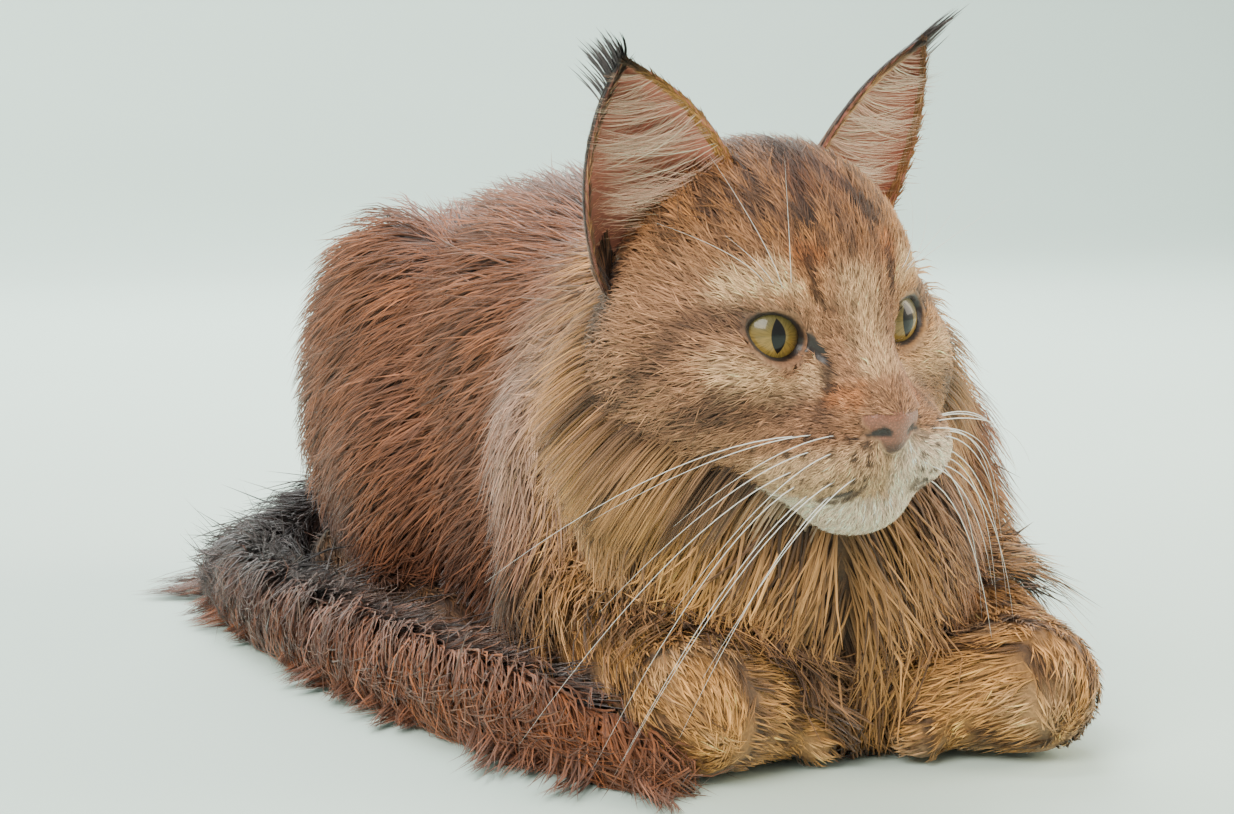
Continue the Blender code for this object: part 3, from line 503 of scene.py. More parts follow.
FACE_RUST = (
    (((14, -38, 26), (13.5, -42, 16)), 2.8, 0.60),
    (((9, -57, -13), (14, -52, -12)), 3.2, 0.45),
    (((7, -28, 42), (5, -20, 48)), 3.0, 0.40),
)
FOREHEAD_LINES = 7.0
FACE_PALE = (
    (((14, -41, 17), (24, -35, 20), (33, -27, 16)), 4.0, 0.80),
    (((16, -46, -9), (25, -41, -10), (36, -33, -5)), 4.5, 0.70),
    (((0, -52, -6), (0, -44, 8), (0, -40, 16)), 5.0, 0.75),
)
WHISKER_ROWS = 4
WHISKER_COLUMNS = 5
BROW_HAIRS = 4


def slopes(field, points, step=0.0006):
    """Value and unit gradient of a field."""
    value = field(points)
    gradient = np.empty_like(points)
    for axis in range(3):
        shifted = points.copy()
        shifted[:, axis] += step
        gradient[:, axis] = field(shifted) - value
    return value, unit(gradient)


def on_face(place):
    """The nearest place on the skin of the face to a point given in millimetres."""
    point = np.array([place]) * MM
    for _step in range(3):
        value, normal = slopes(face_field, point)
        point = point - normal * value[:, None]
    return point[0] / MM


def streak(mirrored, marks, unevenness):
    """Strength of the nearest of several painted streaks at each point."""
    strength = np.zeros(len(mirrored))
    for route, half_width, most in marks:
        radii = [half_width] * len(route)
        route = [on_face(place) for place in route]
        distance = chain(mirrored, route, radii) + unevenness
        strength = np.maximum(strength, most * (1.0 - smooth(distance, -half_width * 0.5, half_width * 0.9)))
    return strength


def whisker_root(row, column):
    """Place of one whisker on the left-hand pad, in millimetres."""
    return on_face((9.0 + 3.9 * column, -62.0 + 3.6 * column, -25.0 - 4.4 * row + 0.2 * column))


def head_colours(points):
    """Outer and under colours of the coat of the head, from its markings, with painted warm light on its far
    side and painted shade along the mouth.
    """
    size, mirrored = in_millimetres(to_head(points))
    x, y, z = mirrored.T
    rough = ripple(size, 4.0, 3) * 0.9 + ripple(size, 11.0, 4) * 0.9
    outer = rows(colour("beige"), len(points))
    outer = mix(outer, colour("fawn"), smooth(z, 12, 34) * (0.75 + 0.25 * ripple(size, 9.0, 5)))
    lines = np.sin(2 * math.pi * (x + 0.9 * ripple(size, 12.0, 6)) / FOREHEAD_LINES)
    top = smooth(z - 0.3 * y, 24, 40)
    outer = mix(outer, colour("umber"), 0.62 * smooth(lines, -0.1, 0.9) * top)
    outer = mix(outer, colour("umber"), 0.55 * smooth(y, -8, 12) * smooth(z, 30, 46))
    outer = mix(outer, colour("umber"), 0.22 * smooth(ripple(size, 3.0, 8), 0.1, 0.9))
    below_cheek = smooth(-z, 25, 50) * smooth(y, -20, 10)
    # Golden below the cheeks is the coat's own; golden on the far, plus-X side of the face is painted warm
    # light.
    outer = mix(outer, colour("golden"), 0.70 * smooth(size[:, 0], 6, 32) + 0.35 * below_cheek)
    outer = mix(outer, colour("pale"), streak(mirrored, FACE_PALE, rough))
    outer = mix(outer, colour("umber"), streak(mirrored, FACE_TICKED, rough * 1.5))
    outer = mix(outer, colour("rust"), streak(mirrored, FACE_RUST, rough))
    outer = mix(outer, colour("black"), streak(mirrored, FACE_STREAKS, rough * 0.8))
    white = smooth(-z, 40, 44) * smooth(-y, 14, 28)
    # Painted light: the far whisker pad is painted whiter than the near one.
    lit_far_side = smooth(size[:, 0], -1.0, 5.0)
    pads = smooth(-z - 0.25 * (y + 60), 22, 28) * smooth(-y, 30, 42)
    white = np.maximum(white, pads * (0.08 + 0.92 * lit_far_side))
    outer = mix(outer, colour("pale"), pads * 0.55)
    outer = mix(outer, colour("cream"), white * (0.93 + 0.07 * ripple(size, 6.0, 7)))
    # Dark along the mouth: dark lips and painted shade in the crease under the whisker pads.
    mouth = lip_line(mirrored) + 2.0 * smooth(x, 16, 24) + 1.2 * smooth(z, -38, -34)
    outer = mix(outer, colour("umber"), 0.85 * (1.0 - smooth(mouth, 1.6, 3.4)))
    spots = np.full(len(points), 9.0)
    for row in range(WHISKER_ROWS):
        for column in range(WHISKER_COLUMNS):
            spots = np.minimum(spots, np.linalg.norm(mirrored - whisker_root(row, column), axis=1))
    outer = mix(outer, colour("black"), 0.85 * (1.0 - smooth(spots, 0.8, 1.6)))
    # Under colour: partly a darker under coat, partly painted shade deep in the coat.
    under = mix(outer * 0.42, colour("umber") * 0.7, 0.5 * (1.0 - white))
    under = mix(under, colour("cream") * 0.72, white)
    return outer, under


def body_colours(points):
    """Outer and under colours of the coat of trunk, legs and tail, with painted shade low down and in the
    ruff, painted warm light on the rump and a painted sheen on the neck.
    """
    x, y, z = points.T
    blotch = ripple(points, 0.050, 11)
    fine = ripple(points, 0.016, 12)
    outer = rows(colour("brown"), len(points))
    stripe = np.sin((y + 0.35 * z + 0.006 * ripple(points, 0.07, 13)) * 2 * math.pi / 0.042)
    outer = mix(outer, colour("umber"), 0.50 * smooth(stripe + 0.5 * fine, 0.1, 1.1))
    outer = mix(outer, colour("rust"), 0.16 * smooth(blotch - 0.4 * stripe, 0.2, 1.0))
    spine = 1.0 - smooth(np.abs(x - 0.004), 0.008, 0.030)
    outer = mix(outer, colour("umber"), 0.55 * spine * smooth(z, 0.12, 0.16))
    # Painted shade low on the flanks and haunches, towards the floor.
    low = smooth(0.075 - z, 0.0, 0.05)
    outer = mix(outer, colour("umber"), 0.40 * low * smooth(y, -0.02, 0.05))
    # Painted warm light: rust on the top of the rump.
    rump = smooth(y, 0.12, 0.19) * smooth(z, 0.10, 0.15)
    outer = mix(outer, colour("rust"), 0.85 * rump * (0.8 + 0.3 * fine))
    chest = smooth(-y, 0.070, 0.115)
    ruff = mix(rows(colour("golden"), len(points)), colour("beige"), 0.5 + 0.5 * blotch)
    # The ruff's dark locks grow more towards its bottom, where they are partly painted shade.
    uneven = fine + 0.5 * blotch + 0.5 * smooth(0.09 - z, 0, 0.04)
    ruff = mix(ruff, colour("umber"), 0.80 * smooth(uneven, 0.15, 1.0))
    # Painted shade on the lower ruff, mostly on the near side.
    ruff = mix(ruff, colour("umber"), 0.55 * smooth(0.085 - z, 0.0, 0.05) * smooth(0.030 - x, 0.0, 0.06))
    outer = mix(outer, ruff, chest)
    # Painted sheen: a pale, cool shine on the side of the neck.
    neck = ((x + 0.085) / 0.03) ** 2 + ((y + 0.085) / 0.035) ** 2 + ((z - 0.120) / 0.030) ** 2
    outer = mix(outer, colour("lilac_sheen"), 0.9 * np.exp(-neck))
    # Painted shade: the coat is darker towards the floor, lighter on top and on the chest.
    outer = outer * (0.70 + 0.30 * np.maximum(smooth(z, 0.02, 0.13), chest))[:, None]
    # Under colour: partly a darker under coat, partly painted shade deep in the coat.
    under = mix(outer * 0.38, colour("umber") * 0.5, 0.55 * np.ones(len(points)))
    return outer, under


def leg_colours(points):
    """Golden legs with dark bars, darker towards the elbow."""
    x, y, _z = points.T
    outer = rows(colour("golden"), len(points))
    bars = np.sin((y * 0.8 + x + 0.004 * ripple(points, 0.03, 15)) * 2 * math.pi / 0.021)
    outer = mix(outer, colour("umber"), 0.80 * smooth(bars + 0.4 * ripple(points, 0.01, 16), 0.2, 0.9))
    outer = mix(outer, colour("pale"), 0.35 * smooth(ripple(points, 0.03, 17), 0.2, 0.9))
    outer = mix(outer, colour("umber"), smooth(y, -0.115, -0.085) * 0.85)
    return outer, outer * 0.5


def tail_colours(points):
    """Near-black root, partly dark fur and partly painted shadow under the haunch, brown length and reddish
    fringe.
    """
    curve = np.array([place[:2] for place in tail_curve()])
    nearest = np.argmin(np.linalg.norm(points[:, None, :2] - curve[None], axis=2), axis=1)
    along = nearest / (len(curve) - 1)
    outward = curve[nearest][:, 0] - points[:, 0]
    dark = rows(colour("black"), len(points))
    reddish = rows(colour("rust") * 0.62, len(points))
    reddish = mix(reddish, colour("brown"), 0.6 + 0.4 * ripple(points, 0.03, 21))
    # Up to about half its length the tail stays near-black on the side towards the body: dark fur and
    # painted shadow under the haunch.
    fringe = smooth(outward, -0.004, 0.008) * smooth(along, 0.15, 0.40)
    share = np.maximum(fringe, smooth(along, 0.42, 0.66))
    outer = mix(dark, reddish, share * (0.78 + 0.22 * ripple(points, 0.012, 22)))
    outer = mix(outer, colour("umber"), 0.35 * smooth(ripple(points, 0.02, 23), 0.0, 0.8))
    return outer, outer * 0.45


# Parts of the body below the head, by their numbers in part_at
TRUNK, FORELEG_LEFT, FORELEG_RIGHT, HAUNCH_LEFT, HAUNCH_RIGHT, FOOT_LEFT, FOOT_RIGHT, TAIL = range(8)


def part_at(points):
    """Number of the part whose form is outermost at each point."""
    fields = [trunk_field(points)]
    fields += [foreleg_field(points, side) for side in (1, -1)]
    fields += [haunch_field(points, side) for side in (1, -1)]
    fields += [hind_foot_field(points, side) for side in (1, -1)]
    fields.append(tail_field(points))
    return np.argmin(np.stack(fields), axis=0)


def is_foreleg(part):
    return (part == FORELEG_LEFT) | (part == FORELEG_RIGHT)


def is_haunch(part):
    return (part == HAUNCH_LEFT) | (part == HAUNCH_RIGHT)


def is_hind_foot(part):
    return (part == FOOT_LEFT) | (part == FOOT_RIGHT)


def is_leg(part):
    return is_foreleg(part) | is_hind_foot(part)


def coat_colours(points):
    """Outer and under colours at any place of the coat below the head."""
    part = part_at(points)
    outer, under = body_colours(points)
    legs = is_leg(part) & (points[:, 2] < 0.075)
    for chosen, markings in ((legs, leg_colours), (part == TAIL, tail_colours)):
        if chosen.any():
            outer[chosen], under[chosen] = markings(points[chosen])
    return outer, under


# Meshes

def link(mesh, name):
    thing = bpy.data.objects.new(name, mesh)
    bpy.context.scene.collection.objects.link(thing)
    return thing


def surface_of(field, low, high, voxel):
    """Corners and quads of the field's zero surface inside the box from low to high."""
    counts = [int(math.ceil((high[axis] - low[axis]) / voxel)) + 1 for axis in range(3)]
    lines = [low[axis] + voxel * np.arange(counts[axis]) for axis in range(3)]
    values = np.empty(counts)
    for index, x in enumerate(lines[0]):
        sheet = np.stack(np.meshgrid([x], lines[1], lines[2], indexing="ij"), axis=-1).reshape(-1, 3)
        values[index] = field(sheet).reshape(counts[1:])
    volume = openvdb.FloatGrid(background=1.0)
    volume.copyFromArray((values / voxel).astype(np.float32))
    corners, quads = volume.convertToQuads(isovalue=0.0)
    return np.array(low) + corners * voxel, quads


def settle(corners, quads, rounds):
    """Mesh of corners and quads, smoothed a number of times, with its normals outwards."""
    mesh = bpy.data.meshes.new("form")
    mesh.from_pydata(corners.tolist(), [], quads.tolist())
    shape = bmesh.new()
    shape.from_mesh(mesh)
    for _round in range(rounds):
        bmesh.ops.smooth_vert(
            shape, verts=shape.verts, factor=0.5, use_axis_x=True, use_axis_y=True, use_axis_z=True)
    bmesh.ops.recalc_face_normals(shape, faces=shape.faces)
    shape.to_mesh(mesh)
    shape.free()
    return mesh


def turn_outwards(mesh):
    shape = bmesh.new()
    shape.from_mesh(mesh)
    bmesh.ops.recalc_face_normals(shape, faces=shape.faces)
    shape.to_mesh(mesh)
    shape.free()


def above_floor(field):
    return lambda points: np.maximum(field(points), FLOOR - points[:, 2])


def ear_sheet(side):
    """The ear's cup as a closed, thin shell."""
    rows = np.repeat(np.linspace(0.0, 0.985, EAR_ROWS), EAR_COLUMNS)
    columns = np.tile(np.linspace(-1.0, 1.0, EAR_COLUMNS), EAR_ROWS)
    corners = ear_point(columns, rows, side)
    mesh = bpy.data.meshes.new("ear")
    faces = []
    for row in range(EAR_ROWS - 1):
        for column in range(EAR_COLUMNS - 1):
            first = row * EAR_COLUMNS + column
            faces.append((first, first + 1, first + EAR_COLUMNS + 1, first + EAR_COLUMNS))
    mesh.from_pydata(corners.tolist(), [], faces)
    ear = link(mesh, "ear")
    shell = ear.modifiers.new("thickness", "SOLIDIFY")
    shell.thickness = EAR_THICKNESS
    shell.offset = 0.0
    baked = bpy.data.meshes.new_from_object(ear.evaluated_get(bpy.context.evaluated_depsgraph_get()))
    bpy.data.objects.remove(ear)
    return baked


def mesh_corners(mesh):
    places = np.empty(len(mesh.vertices) * 3)
    mesh.vertices.foreach_get("co", places)
    return places.reshape(-1, 3)


def paint(mesh, name, values):
    """Store colours, one for each corner, as a colour attribute."""
    layer = mesh.color_attributes.new(name, "FLOAT_COLOR", "POINT")
    layer.data.foreach_set("color", np.column_stack((values, np.ones(len(values)))).ravel())


def store(mesh, name, values):
    layer = mesh.attributes.new(name, "FLOAT_VECTOR", "POINT")
    layer.data.foreach_set("vector", np.ascontiguousarray(values, dtype=np.float32).ravel())


def bare_skin(points):
    """Share of nose leather, of dark rims with painted shade in the nostrils and the crease of the mouth,
    and of pink ear skin at points of the head.
    """
    local = to_head(points)
    size, mirrored = in_millimetres(local)
    leather = 1.0 - smooth(nose_field(size, mirrored), 0.05, 0.7)
    leather *= smooth(-size[:, 1], 54, 57) * (1.0 - smooth(size[:, 2], -17, -13.5))
    rims = np.zeros(len(points))
    for side in (1, -1):
        opening = lid_opening(local, side) / MM
        from_centre = np.linalg.norm(local - eye_frame(side)[0], axis=1) - EYE_RADIUS
        at_ball = 1.0 - smooth(from_centre / MM, 1.5, 2.6)
        rims = np.maximum(rims, (1.0 - smooth(np.abs(opening), 0.25, 0.90)) * at_ball)
    rims = np.maximum(rims, 1.0 - smooth(eye_corner(mirrored), 0.1, 0.9))
    # Dark lips, with painted shade in the crease of the mouth.
    rims = np.maximum(rims, 1.0 - smooth(lip_line(mirrored), 0.2, 1.0))
    # Painted shade in the nostrils.
    rims = np.maximum(rims, 1.0 - smooth(nostril_field(mirrored), 0.0, 0.5))
    # The nose leather is darker towards its bottom.
    rims = np.maximum(rims, 0.75 * leather * smooth(-size[:, 2], 23.5, 28.0))
    return np.column_stack((leather, rims, np.zeros(len(points))))


def ear_down(points):
    """Colour of the down on the back and rim of the ears, darker towards the tip."""
    height = to_head(points)[:, 2] / MM
    return mix(rows(colour("umber"), len(points)), colour("black"), smooth(height, 45, 75))


def in_ear(mesh, side):
    """Share of bare pink on the side of an ear's shell that faces into the cup."""
    places = mesh_corners(mesh)
    outward = np.empty(len(places) * 3)
    mesh.vertices.foreach_get("normal", outward)
    focus = from_head(np.array([EAR_FOCUS]) * (side, 1.0, 1.0))
    facing = np.einsum("ij,ij->i", outward.reshape(-1, 3), unit(focus - places))
    height = to_head(places)[:, 2] / MM
    pink = smooth(facing, 0.15, 0.45) * (0.55 + 0.45 * smooth(height, 28, 55))
    nothing = np.zeros(len(places))
    return np.column_stack((nothing, nothing, pink))


# Node trees

def add_node(tree, kind, **settings):
    node = tree.nodes.new(kind)
    for name, value in settings.items():
        setattr(node, name, value)
    return node


def calculate(tree, operation, *values, clamp=False):
    """One step of arithmetic on sockets or numbers."""
    node = add_node(tree, "ShaderNodeMath", operation=operation, use_clamp=clamp)
    for socket, value in zip(node.inputs, values):
        if isinstance(value, bpy.types.NodeSocket):
            tree.links.new(value, socket)
        else:
            socket.default_value = value
    return node.outputs[0]


def ramp(tree, value, low, high, start=0.0, end=1.0):
    """Smooth change from start to end as a value goes from low to high."""
    node = add_node(tree, "ShaderNodeMapRange", interpolation_type="SMOOTHSTEP")
    tree.links.new(value, node.inputs["Value"])
    for socket, number in (("From Min", low), ("From Max", high), ("To Min", start), ("To Max", end)):
        node.inputs[socket].default_value = number
    return node.outputs["Result"]


def mix_colours(tree, share, first, second, blend_type="MIX"):
    node = add_node(tree, "ShaderNodeMix", data_type="RGBA", blend_type=blend_type)
    for index, value in ((0, share), (6, first), (7, second)):
        if isinstance(value, bpy.types.NodeSocket):
            tree.links.new(value, node.inputs[index])
        elif index == 0:
            node.inputs[index].default_value = value
        else:
            node.inputs[index].default_value = (*value, 1.0)
    return node.outputs[2]


def shaded(tree, tone, shade):
    """A colour made lighter or darker by a number."""
    grey = add_node(tree, "ShaderNodeCombineColor")
    for socket in grey.inputs[:3]:
        tree.links.new(shade, socket)
    return mix_colours(tree, 1.0, tone, grey.outputs[0], "MULTIPLY")


def combine(tree, *values):
    node = add_node(tree, "ShaderNodeCombineXYZ")
    for value, socket in zip(values, node.inputs):
        tree.links.new(value, socket)
    return node.outputs[0]


def separate(tree, vector):
    node = add_node(tree, "ShaderNodeSeparateXYZ")
    tree.links.new(vector, node.inputs[0])
    return node.outputs


def noise(tree, place, scale, detail=2.0):
    node = add_node(tree, "ShaderNodeTexNoise")
    node.inputs["Scale"].default_value = scale
    node.inputs["Detail"].default_value = detail
    tree.links.new(place, node.inputs["Vector"])
    return node.outputs["Fac"]


def dimmed(tone, share):
    return tuple(channel * share for channel in tone)


def new_group(name, inputs, outputs):
    """An empty shader group with its sockets, and the nodes that stand for them."""
    tree = bpy.data.node_groups.new(name, "ShaderNodeTree")
    for label, kind in inputs:
        tree.interface.new_socket(label, in_out="INPUT", socket_type=kind)
    for label, kind in outputs:
        tree.interface.new_socket(label, in_out="OUTPUT", socket_type=kind)
    return tree, tree.nodes.new("NodeGroupInput"), tree.nodes.new("NodeGroupOutput")


def strand_group():
    """Fine hairs within each tuft: their colour, from the coat's, and their height."""
    tree, given, result = new_group(
        "fine hairs",
        (("Coat", "NodeSocketColor"), ("Strand", "NodeSocketVector")),
        (("Color", "NodeSocketColor"), ("Height", "NodeSocketFloat")))
    along, across, tone = separate(tree, given.outputs["Strand"])
    place = combine(tree, *(calculate(tree, "MULTIPLY", value, number)
                            for value, number in ((across, 2.6), (along, 0.9), (tone, 47.0))))
    hairs = noise(tree, place, 1.3)
    shade = ramp(tree, hairs, 0.30, 0.70, 0.66, 1.28)
    shade = calculate(tree, "MULTIPLY", shade, calculate(tree, "MULTIPLY_ADD", tone, 0.16, 1.0))
    tree.links.new(shaded(tree, given.outputs["Coat"], shade), result.inputs["Color"])
    tree.links.new(hairs, result.inputs["Height"])


def new_material(name):
    finish = bpy.data.materials.new(name)
    finish.use_nodes = True
    tree = finish.node_tree
    return finish, tree, tree.nodes["Principled BSDF"]


def attribute(tree, name):
    return add_node(tree, "ShaderNodeAttribute", attribute_name=name)


def bump(tree, height, shader, strength, distance):
    node = add_node(tree, "ShaderNodeBump")
    node.inputs["Strength"].default_value = strength
    node.inputs["Distance"].default_value = distance
    tree.links.new(height, node.inputs["Height"])
    tree.links.new(node.outputs[0], shader.inputs["Normal"])


def fur_material(name, roughness, sheen):
    """Hair of the coat, coloured by the marking, painted light and painted shade at its root."""
    finish, tree, shader = new_material(name)
    group = add_node(tree, "ShaderNodeGroup", node_tree=bpy.data.node_groups["fine hairs"])
    tree.links.new(attribute(tree, "coat").outputs["Color"], group.inputs["Coat"])
    tree.links.new(attribute(tree, "strand").outputs["Vector"], group.inputs["Strand"])
    tree.links.new(group.outputs["Color"], shader.inputs["Base Color"])
    bump(tree, group.outputs["Height"], shader, 0.35, 0.0004)
    shader.inputs["Roughness"].default_value = roughness
    shader.inputs["Specular IOR Level"].default_value = 0.35
    shader.inputs["Sheen Weight"].default_value = sheen
    shader.inputs["Sheen Roughness"].default_value = 0.4
    return finish


def skin_material():
    """Skin with its short down, nose leather, dark rims with painted shade in nostrils and mouth, and pink
    ears.
    """
    colours = bpy.context.scene.cat_colours
    finish, tree, shader = new_material("skin")
    place = add_node(tree, "ShaderNodeTexCoord").outputs["Object"]
    down = noise(tree, place, 900.0, 3.0)
    pebbles = add_node(tree, "ShaderNodeTexVoronoi")
    pebbles.inputs["Scale"].default_value = 1500.0
    tree.links.new(place, pebbles.inputs["Vector"])
    leather, rims, ear = separate(tree, attribute(tree, "bare").outputs["Vector"])
    coat = shaded(tree, attribute(tree, "coat").outputs["Color"], ramp(tree, down, 0.3, 0.7, 0.70, 1.15))
    pink = mix_colours(tree, down, dimmed(colours.ear_pink, 0.8), colours.ear_pink)
    nose = mix_colours(tree, ramp(tree, pebbles.outputs["Distance"], 0.0, 0.6), colours.leather,
                       dimmed(colours.leather, 0.55))
    coat = mix_colours(tree, ear, coat, pink)
    coat = mix_colours(tree, leather, coat, nose)
    # Dark rims, with painted shade in the nostrils and the crease of the mouth.
    coat = mix_colours(tree, rims, coat, dimmed(colours.black, 0.8))
    tree.links.new(coat, shader.inputs["Base Color"])
    wet = calculate(tree, "MAXIMUM", leather, rims)
    tree.links.new(ramp(tree, wet, 0.0, 1.0, 0.75, 0.38), shader.inputs["Roughness"])
    height = calculate(tree, "MULTIPLY", pebbles.outputs["Distance"], leather)
    height = calculate(tree, "ADD", height, calculate(tree, "MULTIPLY", down, 0.5))
    bump(tree, height, shader, 0.5, 0.0003)
    shader.inputs["Sheen Weight"].default_value = 0.15
    return finish


# Shares of the eyeball's radius, seen from in front
IRIS_EDGE = 0.83
PUPIL_WIDTH = 0.20
PUPIL_HEIGHT = 0.47


def eye_material():
    """Iris with its fibres, slit pupil and dark rim under a wet, clear front; its top is darkened as painted
    shade from the lid.
    """
    colours = bpy.context.scene.cat_colours
    finish, tree, shader = new_material("eye")
    across, rise, _forward = separate(tree, attribute(tree, "gaze").outputs["Vector"])
    radius = calculate(tree, "SQRT", calculate(
        tree, "ADD", calculate(tree, "MULTIPLY", across, across), calculate(tree, "MULTIPLY", rise, rise)))
    safe = calculate(tree, "MAXIMUM", radius, 0.02)
    place = combine(tree, calculate(tree, "MULTIPLY", calculate(tree, "DIVIDE", across, safe), 9.0),
                    calculate(tree, "MULTIPLY", calculate(tree, "DIVIDE", rise, safe), 9.0),
                    calculate(tree, "MULTIPLY", radius, 2.4))
    fibres = noise(tree, place, 1.6, 4.0)
    # The iris is olive above and yellow below, darkened at the top as painted shade from the upper lid.
    iris = mix_colours(tree, ramp(tree, rise, -0.45, 0.5), colours.iris_low, colours.iris_top_shaded)
    iris = mix_colours(tree, ramp(tree, fibres, 0.35, 0.7, 0.0, 0.55), iris, dimmed(colours.iris_top_shaded, 0.45))
    iris = mix_colours(tree, ramp(tree, radius, IRIS_EDGE - 0.16, IRIS_EDGE, 0.0, 0.85), iris,
                       dimmed(colours.black, 0.5))
    height = calculate(tree, "DIVIDE", rise, PUPIL_HEIGHT)
    bow = calculate(tree, "SUBTRACT", 1.0, calculate(tree, "MULTIPLY", height, height))
    reach = calculate(tree, "MULTIPLY", calculate(tree, "MAXIMUM", bow, 0.0), PUPIL_WIDTH)
    slit = calculate(tree, "SUBTRACT", reach, calculate(tree, "ABSOLUTE", across))
    iris = mix_colours(tree, ramp(tree, slit, -0.012, 0.012), iris, (0.002, 0.002, 0.002))
    beyond = ramp(tree, radius, IRIS_EDGE, IRIS_EDGE + 0.03)
    iris = mix_colours(tree, beyond, iris, dimmed(colours.black, 0.6))
    tree.links.new(iris, shader.inputs["Base Color"])
    shader.inputs["Roughness"].default_value = 0.35
    shader.inputs["Specular IOR Level"].default_value = 0.2
    shader.inputs["Coat Weight"].default_value = 0.7
    shader.inputs["Coat IOR"].default_value = 1.38
    shader.inputs["Coat Roughness"].default_value = 0.03
    return finish


def plain_material(name, tone, roughness, scale):
    """A hair or a backdrop of nearly one tone, with fine unevenness."""
    finish, tree, shader = new_material(name)
    uneven = noise(tree, add_node(tree, "ShaderNodeTexCoord").outputs["Object"], scale)
    tree.links.new(mix_colours(tree, uneven, dimmed(tone, 0.93), tone), shader.inputs["Base Color"])
    shader.inputs["Roughness"].default_value = roughness
    return finish


# Combing: where tufts root and how they lie

def read_skin():
    """Triangles of the skin with their corners, outward directions, areas and map places."""
    mesh = bpy.data.objects["skin"].data
    mesh.calc_loop_triangles()
    count = len(mesh.loop_triangles)
    corners = np.empty(count * 3, dtype=np.int32)
    loops = np.empty(count * 3, dtype=np.int32)
    mesh.loop_triangles.foreach_get("vertices", corners)
    mesh.loop_triangles.foreach_get("loops", loops)
    places = mesh_corners(mesh)[corners].reshape(count, 3, 3)
    spread = np.empty(len(mesh.loops) * 2)
    mesh.uv_layers["OFBake"].data.foreach_get("uv", spread)
    spread = spread.reshape(-1, 2)[loops].reshape(count, 3, 2)
    faces = np.cross(places[:, 1] - places[:, 0], places[:, 2] - places[:, 0])
    areas = np.linalg.norm(faces, axis=1) / 2
    return places, unit(faces), areas, spread


def scatter(count, weigh, draw):
    """Roots on the skin, more of them where the coat needs finer tufts."""
    places, normals, areas, spread = read_skin()
    weights = areas * weigh(places.mean(axis=1), normals)
    chosen = draw.choice(len(areas), size=count, p=weights / weights.sum())
    u, v = draw.random(count), draw.random(count)
    flip = u + v > 1.0
    u[flip], v[flip] = 1.0 - u[flip], 1.0 - v[flip]
    shares = np.column_stack((1.0 - u - v, u, v))
    roots = np.einsum("ij,ijk->ik", shares, places[chosen])
    patches = np.einsum("ij,ijk->ik", shares, spread[chosen])
    return roots, normals[chosen], patches


def comb(field, lie, roots, lengths, sections):
    """Feet of each hair on the skin, walked from its root along the lie of the coat."""
    place = roots
    _value, normal = slopes(field, place)
    feet = [place]
    ups = [normal]
    for _section in range(sections):
        toward = lie(place)
        toward = unit(toward - normal * np.einsum("ij,ij->i", toward, normal)[:, None])
        place = place + toward * (lengths / sections)[:, None]
        value, normal = slopes(field, place)
        place = place - normal * np.clip(value, -0.006, 0.010)[:, None]
        feet.append(place)
        ups.append(normal)
    return np.stack(feet, axis=1), np.stack(ups, axis=1)


# How much of its height a tuft has reached, in even steps from root to tip
RISE = (0.0, 0.30, 0.58, 0.82, 1.0)


def grow(roots, field, lie, lengths, heights, sections, clumping, draw, every=9, sway=0.16):
    """Paths of tufts: each follows a combed guide near it and leans to that guide at its tip."""
    guides = np.arange(0, len(roots), every)
    feet, ups = comb(field, lie, roots[guides], lengths[guides], sections)
    finder = KDTree(len(guides))
    for index, root in enumerate(roots[guides]):
        finder.insert(root, index)
    finder.balance()
    nearest = np.array([finder.find(root)[1] for root in roots])
    steps = np.linspace(0.0, 1.0, sections + 1)
    reach = np.clip(lengths / lengths[guides][nearest], 0.5, 1.0) * draw.uniform(0.72, 1.0, len(roots))
    stations = reach[:, None] * steps[None, :] * sections
    low = np.minimum(stations.astype(int), sections - 1)
    share = (stations - low)[:, :, None]
    row = nearest[:, None]
    path = feet[row, low] * (1 - share) + feet[row, low + 1] * share
    up = unit(ups[row, low] * (1 - share) + ups[row, low + 1] * share)
    offset = (roots - roots[guides][nearest])[:, None, :] * (1.0 - clumping * steps[None, :, None] ** 1.3)
    rise = np.interp(steps, np.linspace(0, 1, len(RISE)), RISE)
    lift = (heights * draw.uniform(0.45, 1.05, len(roots)))[:, None] * rise[None, :]
    along = unit(np.gradient(path, axis=1))
    across = np.cross(along, up)
    swing = (draw.normal(0.0, sway, len(roots)) * lengths)[:, None] * (steps ** 1.5)[None, :]
    path = path + offset + up * lift[:, :, None] + across * swing[:, :, None]
    path[:, :, 2] = np.maximum(path[:, :, 2], FLOOR)
    return path, up


# Shape of a tuft: its width in even steps to the tip, and its thickness for its width
TAPER = (0.80, 1.00, 0.92, 0.66, 0.30)
FLATNESS = 0.42
# Half the size of a tuft's place on the map, and the share of tufts with dark tips
PATCH = 0.0015
TIPPED = 0.28
# How far a tuft's shading leans to its sides and to the skin under it
SIDE_LEAN = 0.8
SKIN_LEAN = 0.9


def tuft_faces(rings):
    """Corner numbers of all faces of one tuft, and where each face starts among them."""
    loops = []
    starts = []
    for first_ring in range(rings - 1):
        for edge in range(3):
            first = first_ring * 3 + edge
            second = first_ring * 3 + (edge + 1) % 3
            starts.append(len(loops))
            loops += [first, first + 3, second + 3, second]
    last = (rings - 1) * 3
    for edge in range(3):
        starts.append(len(loops))
        loops += [last + edge, last + 3, last + (edge + 1) % 3]
    starts.append(len(loops))
    loops += [0, 1, 2]
    return np.array(loops), np.array(starts)


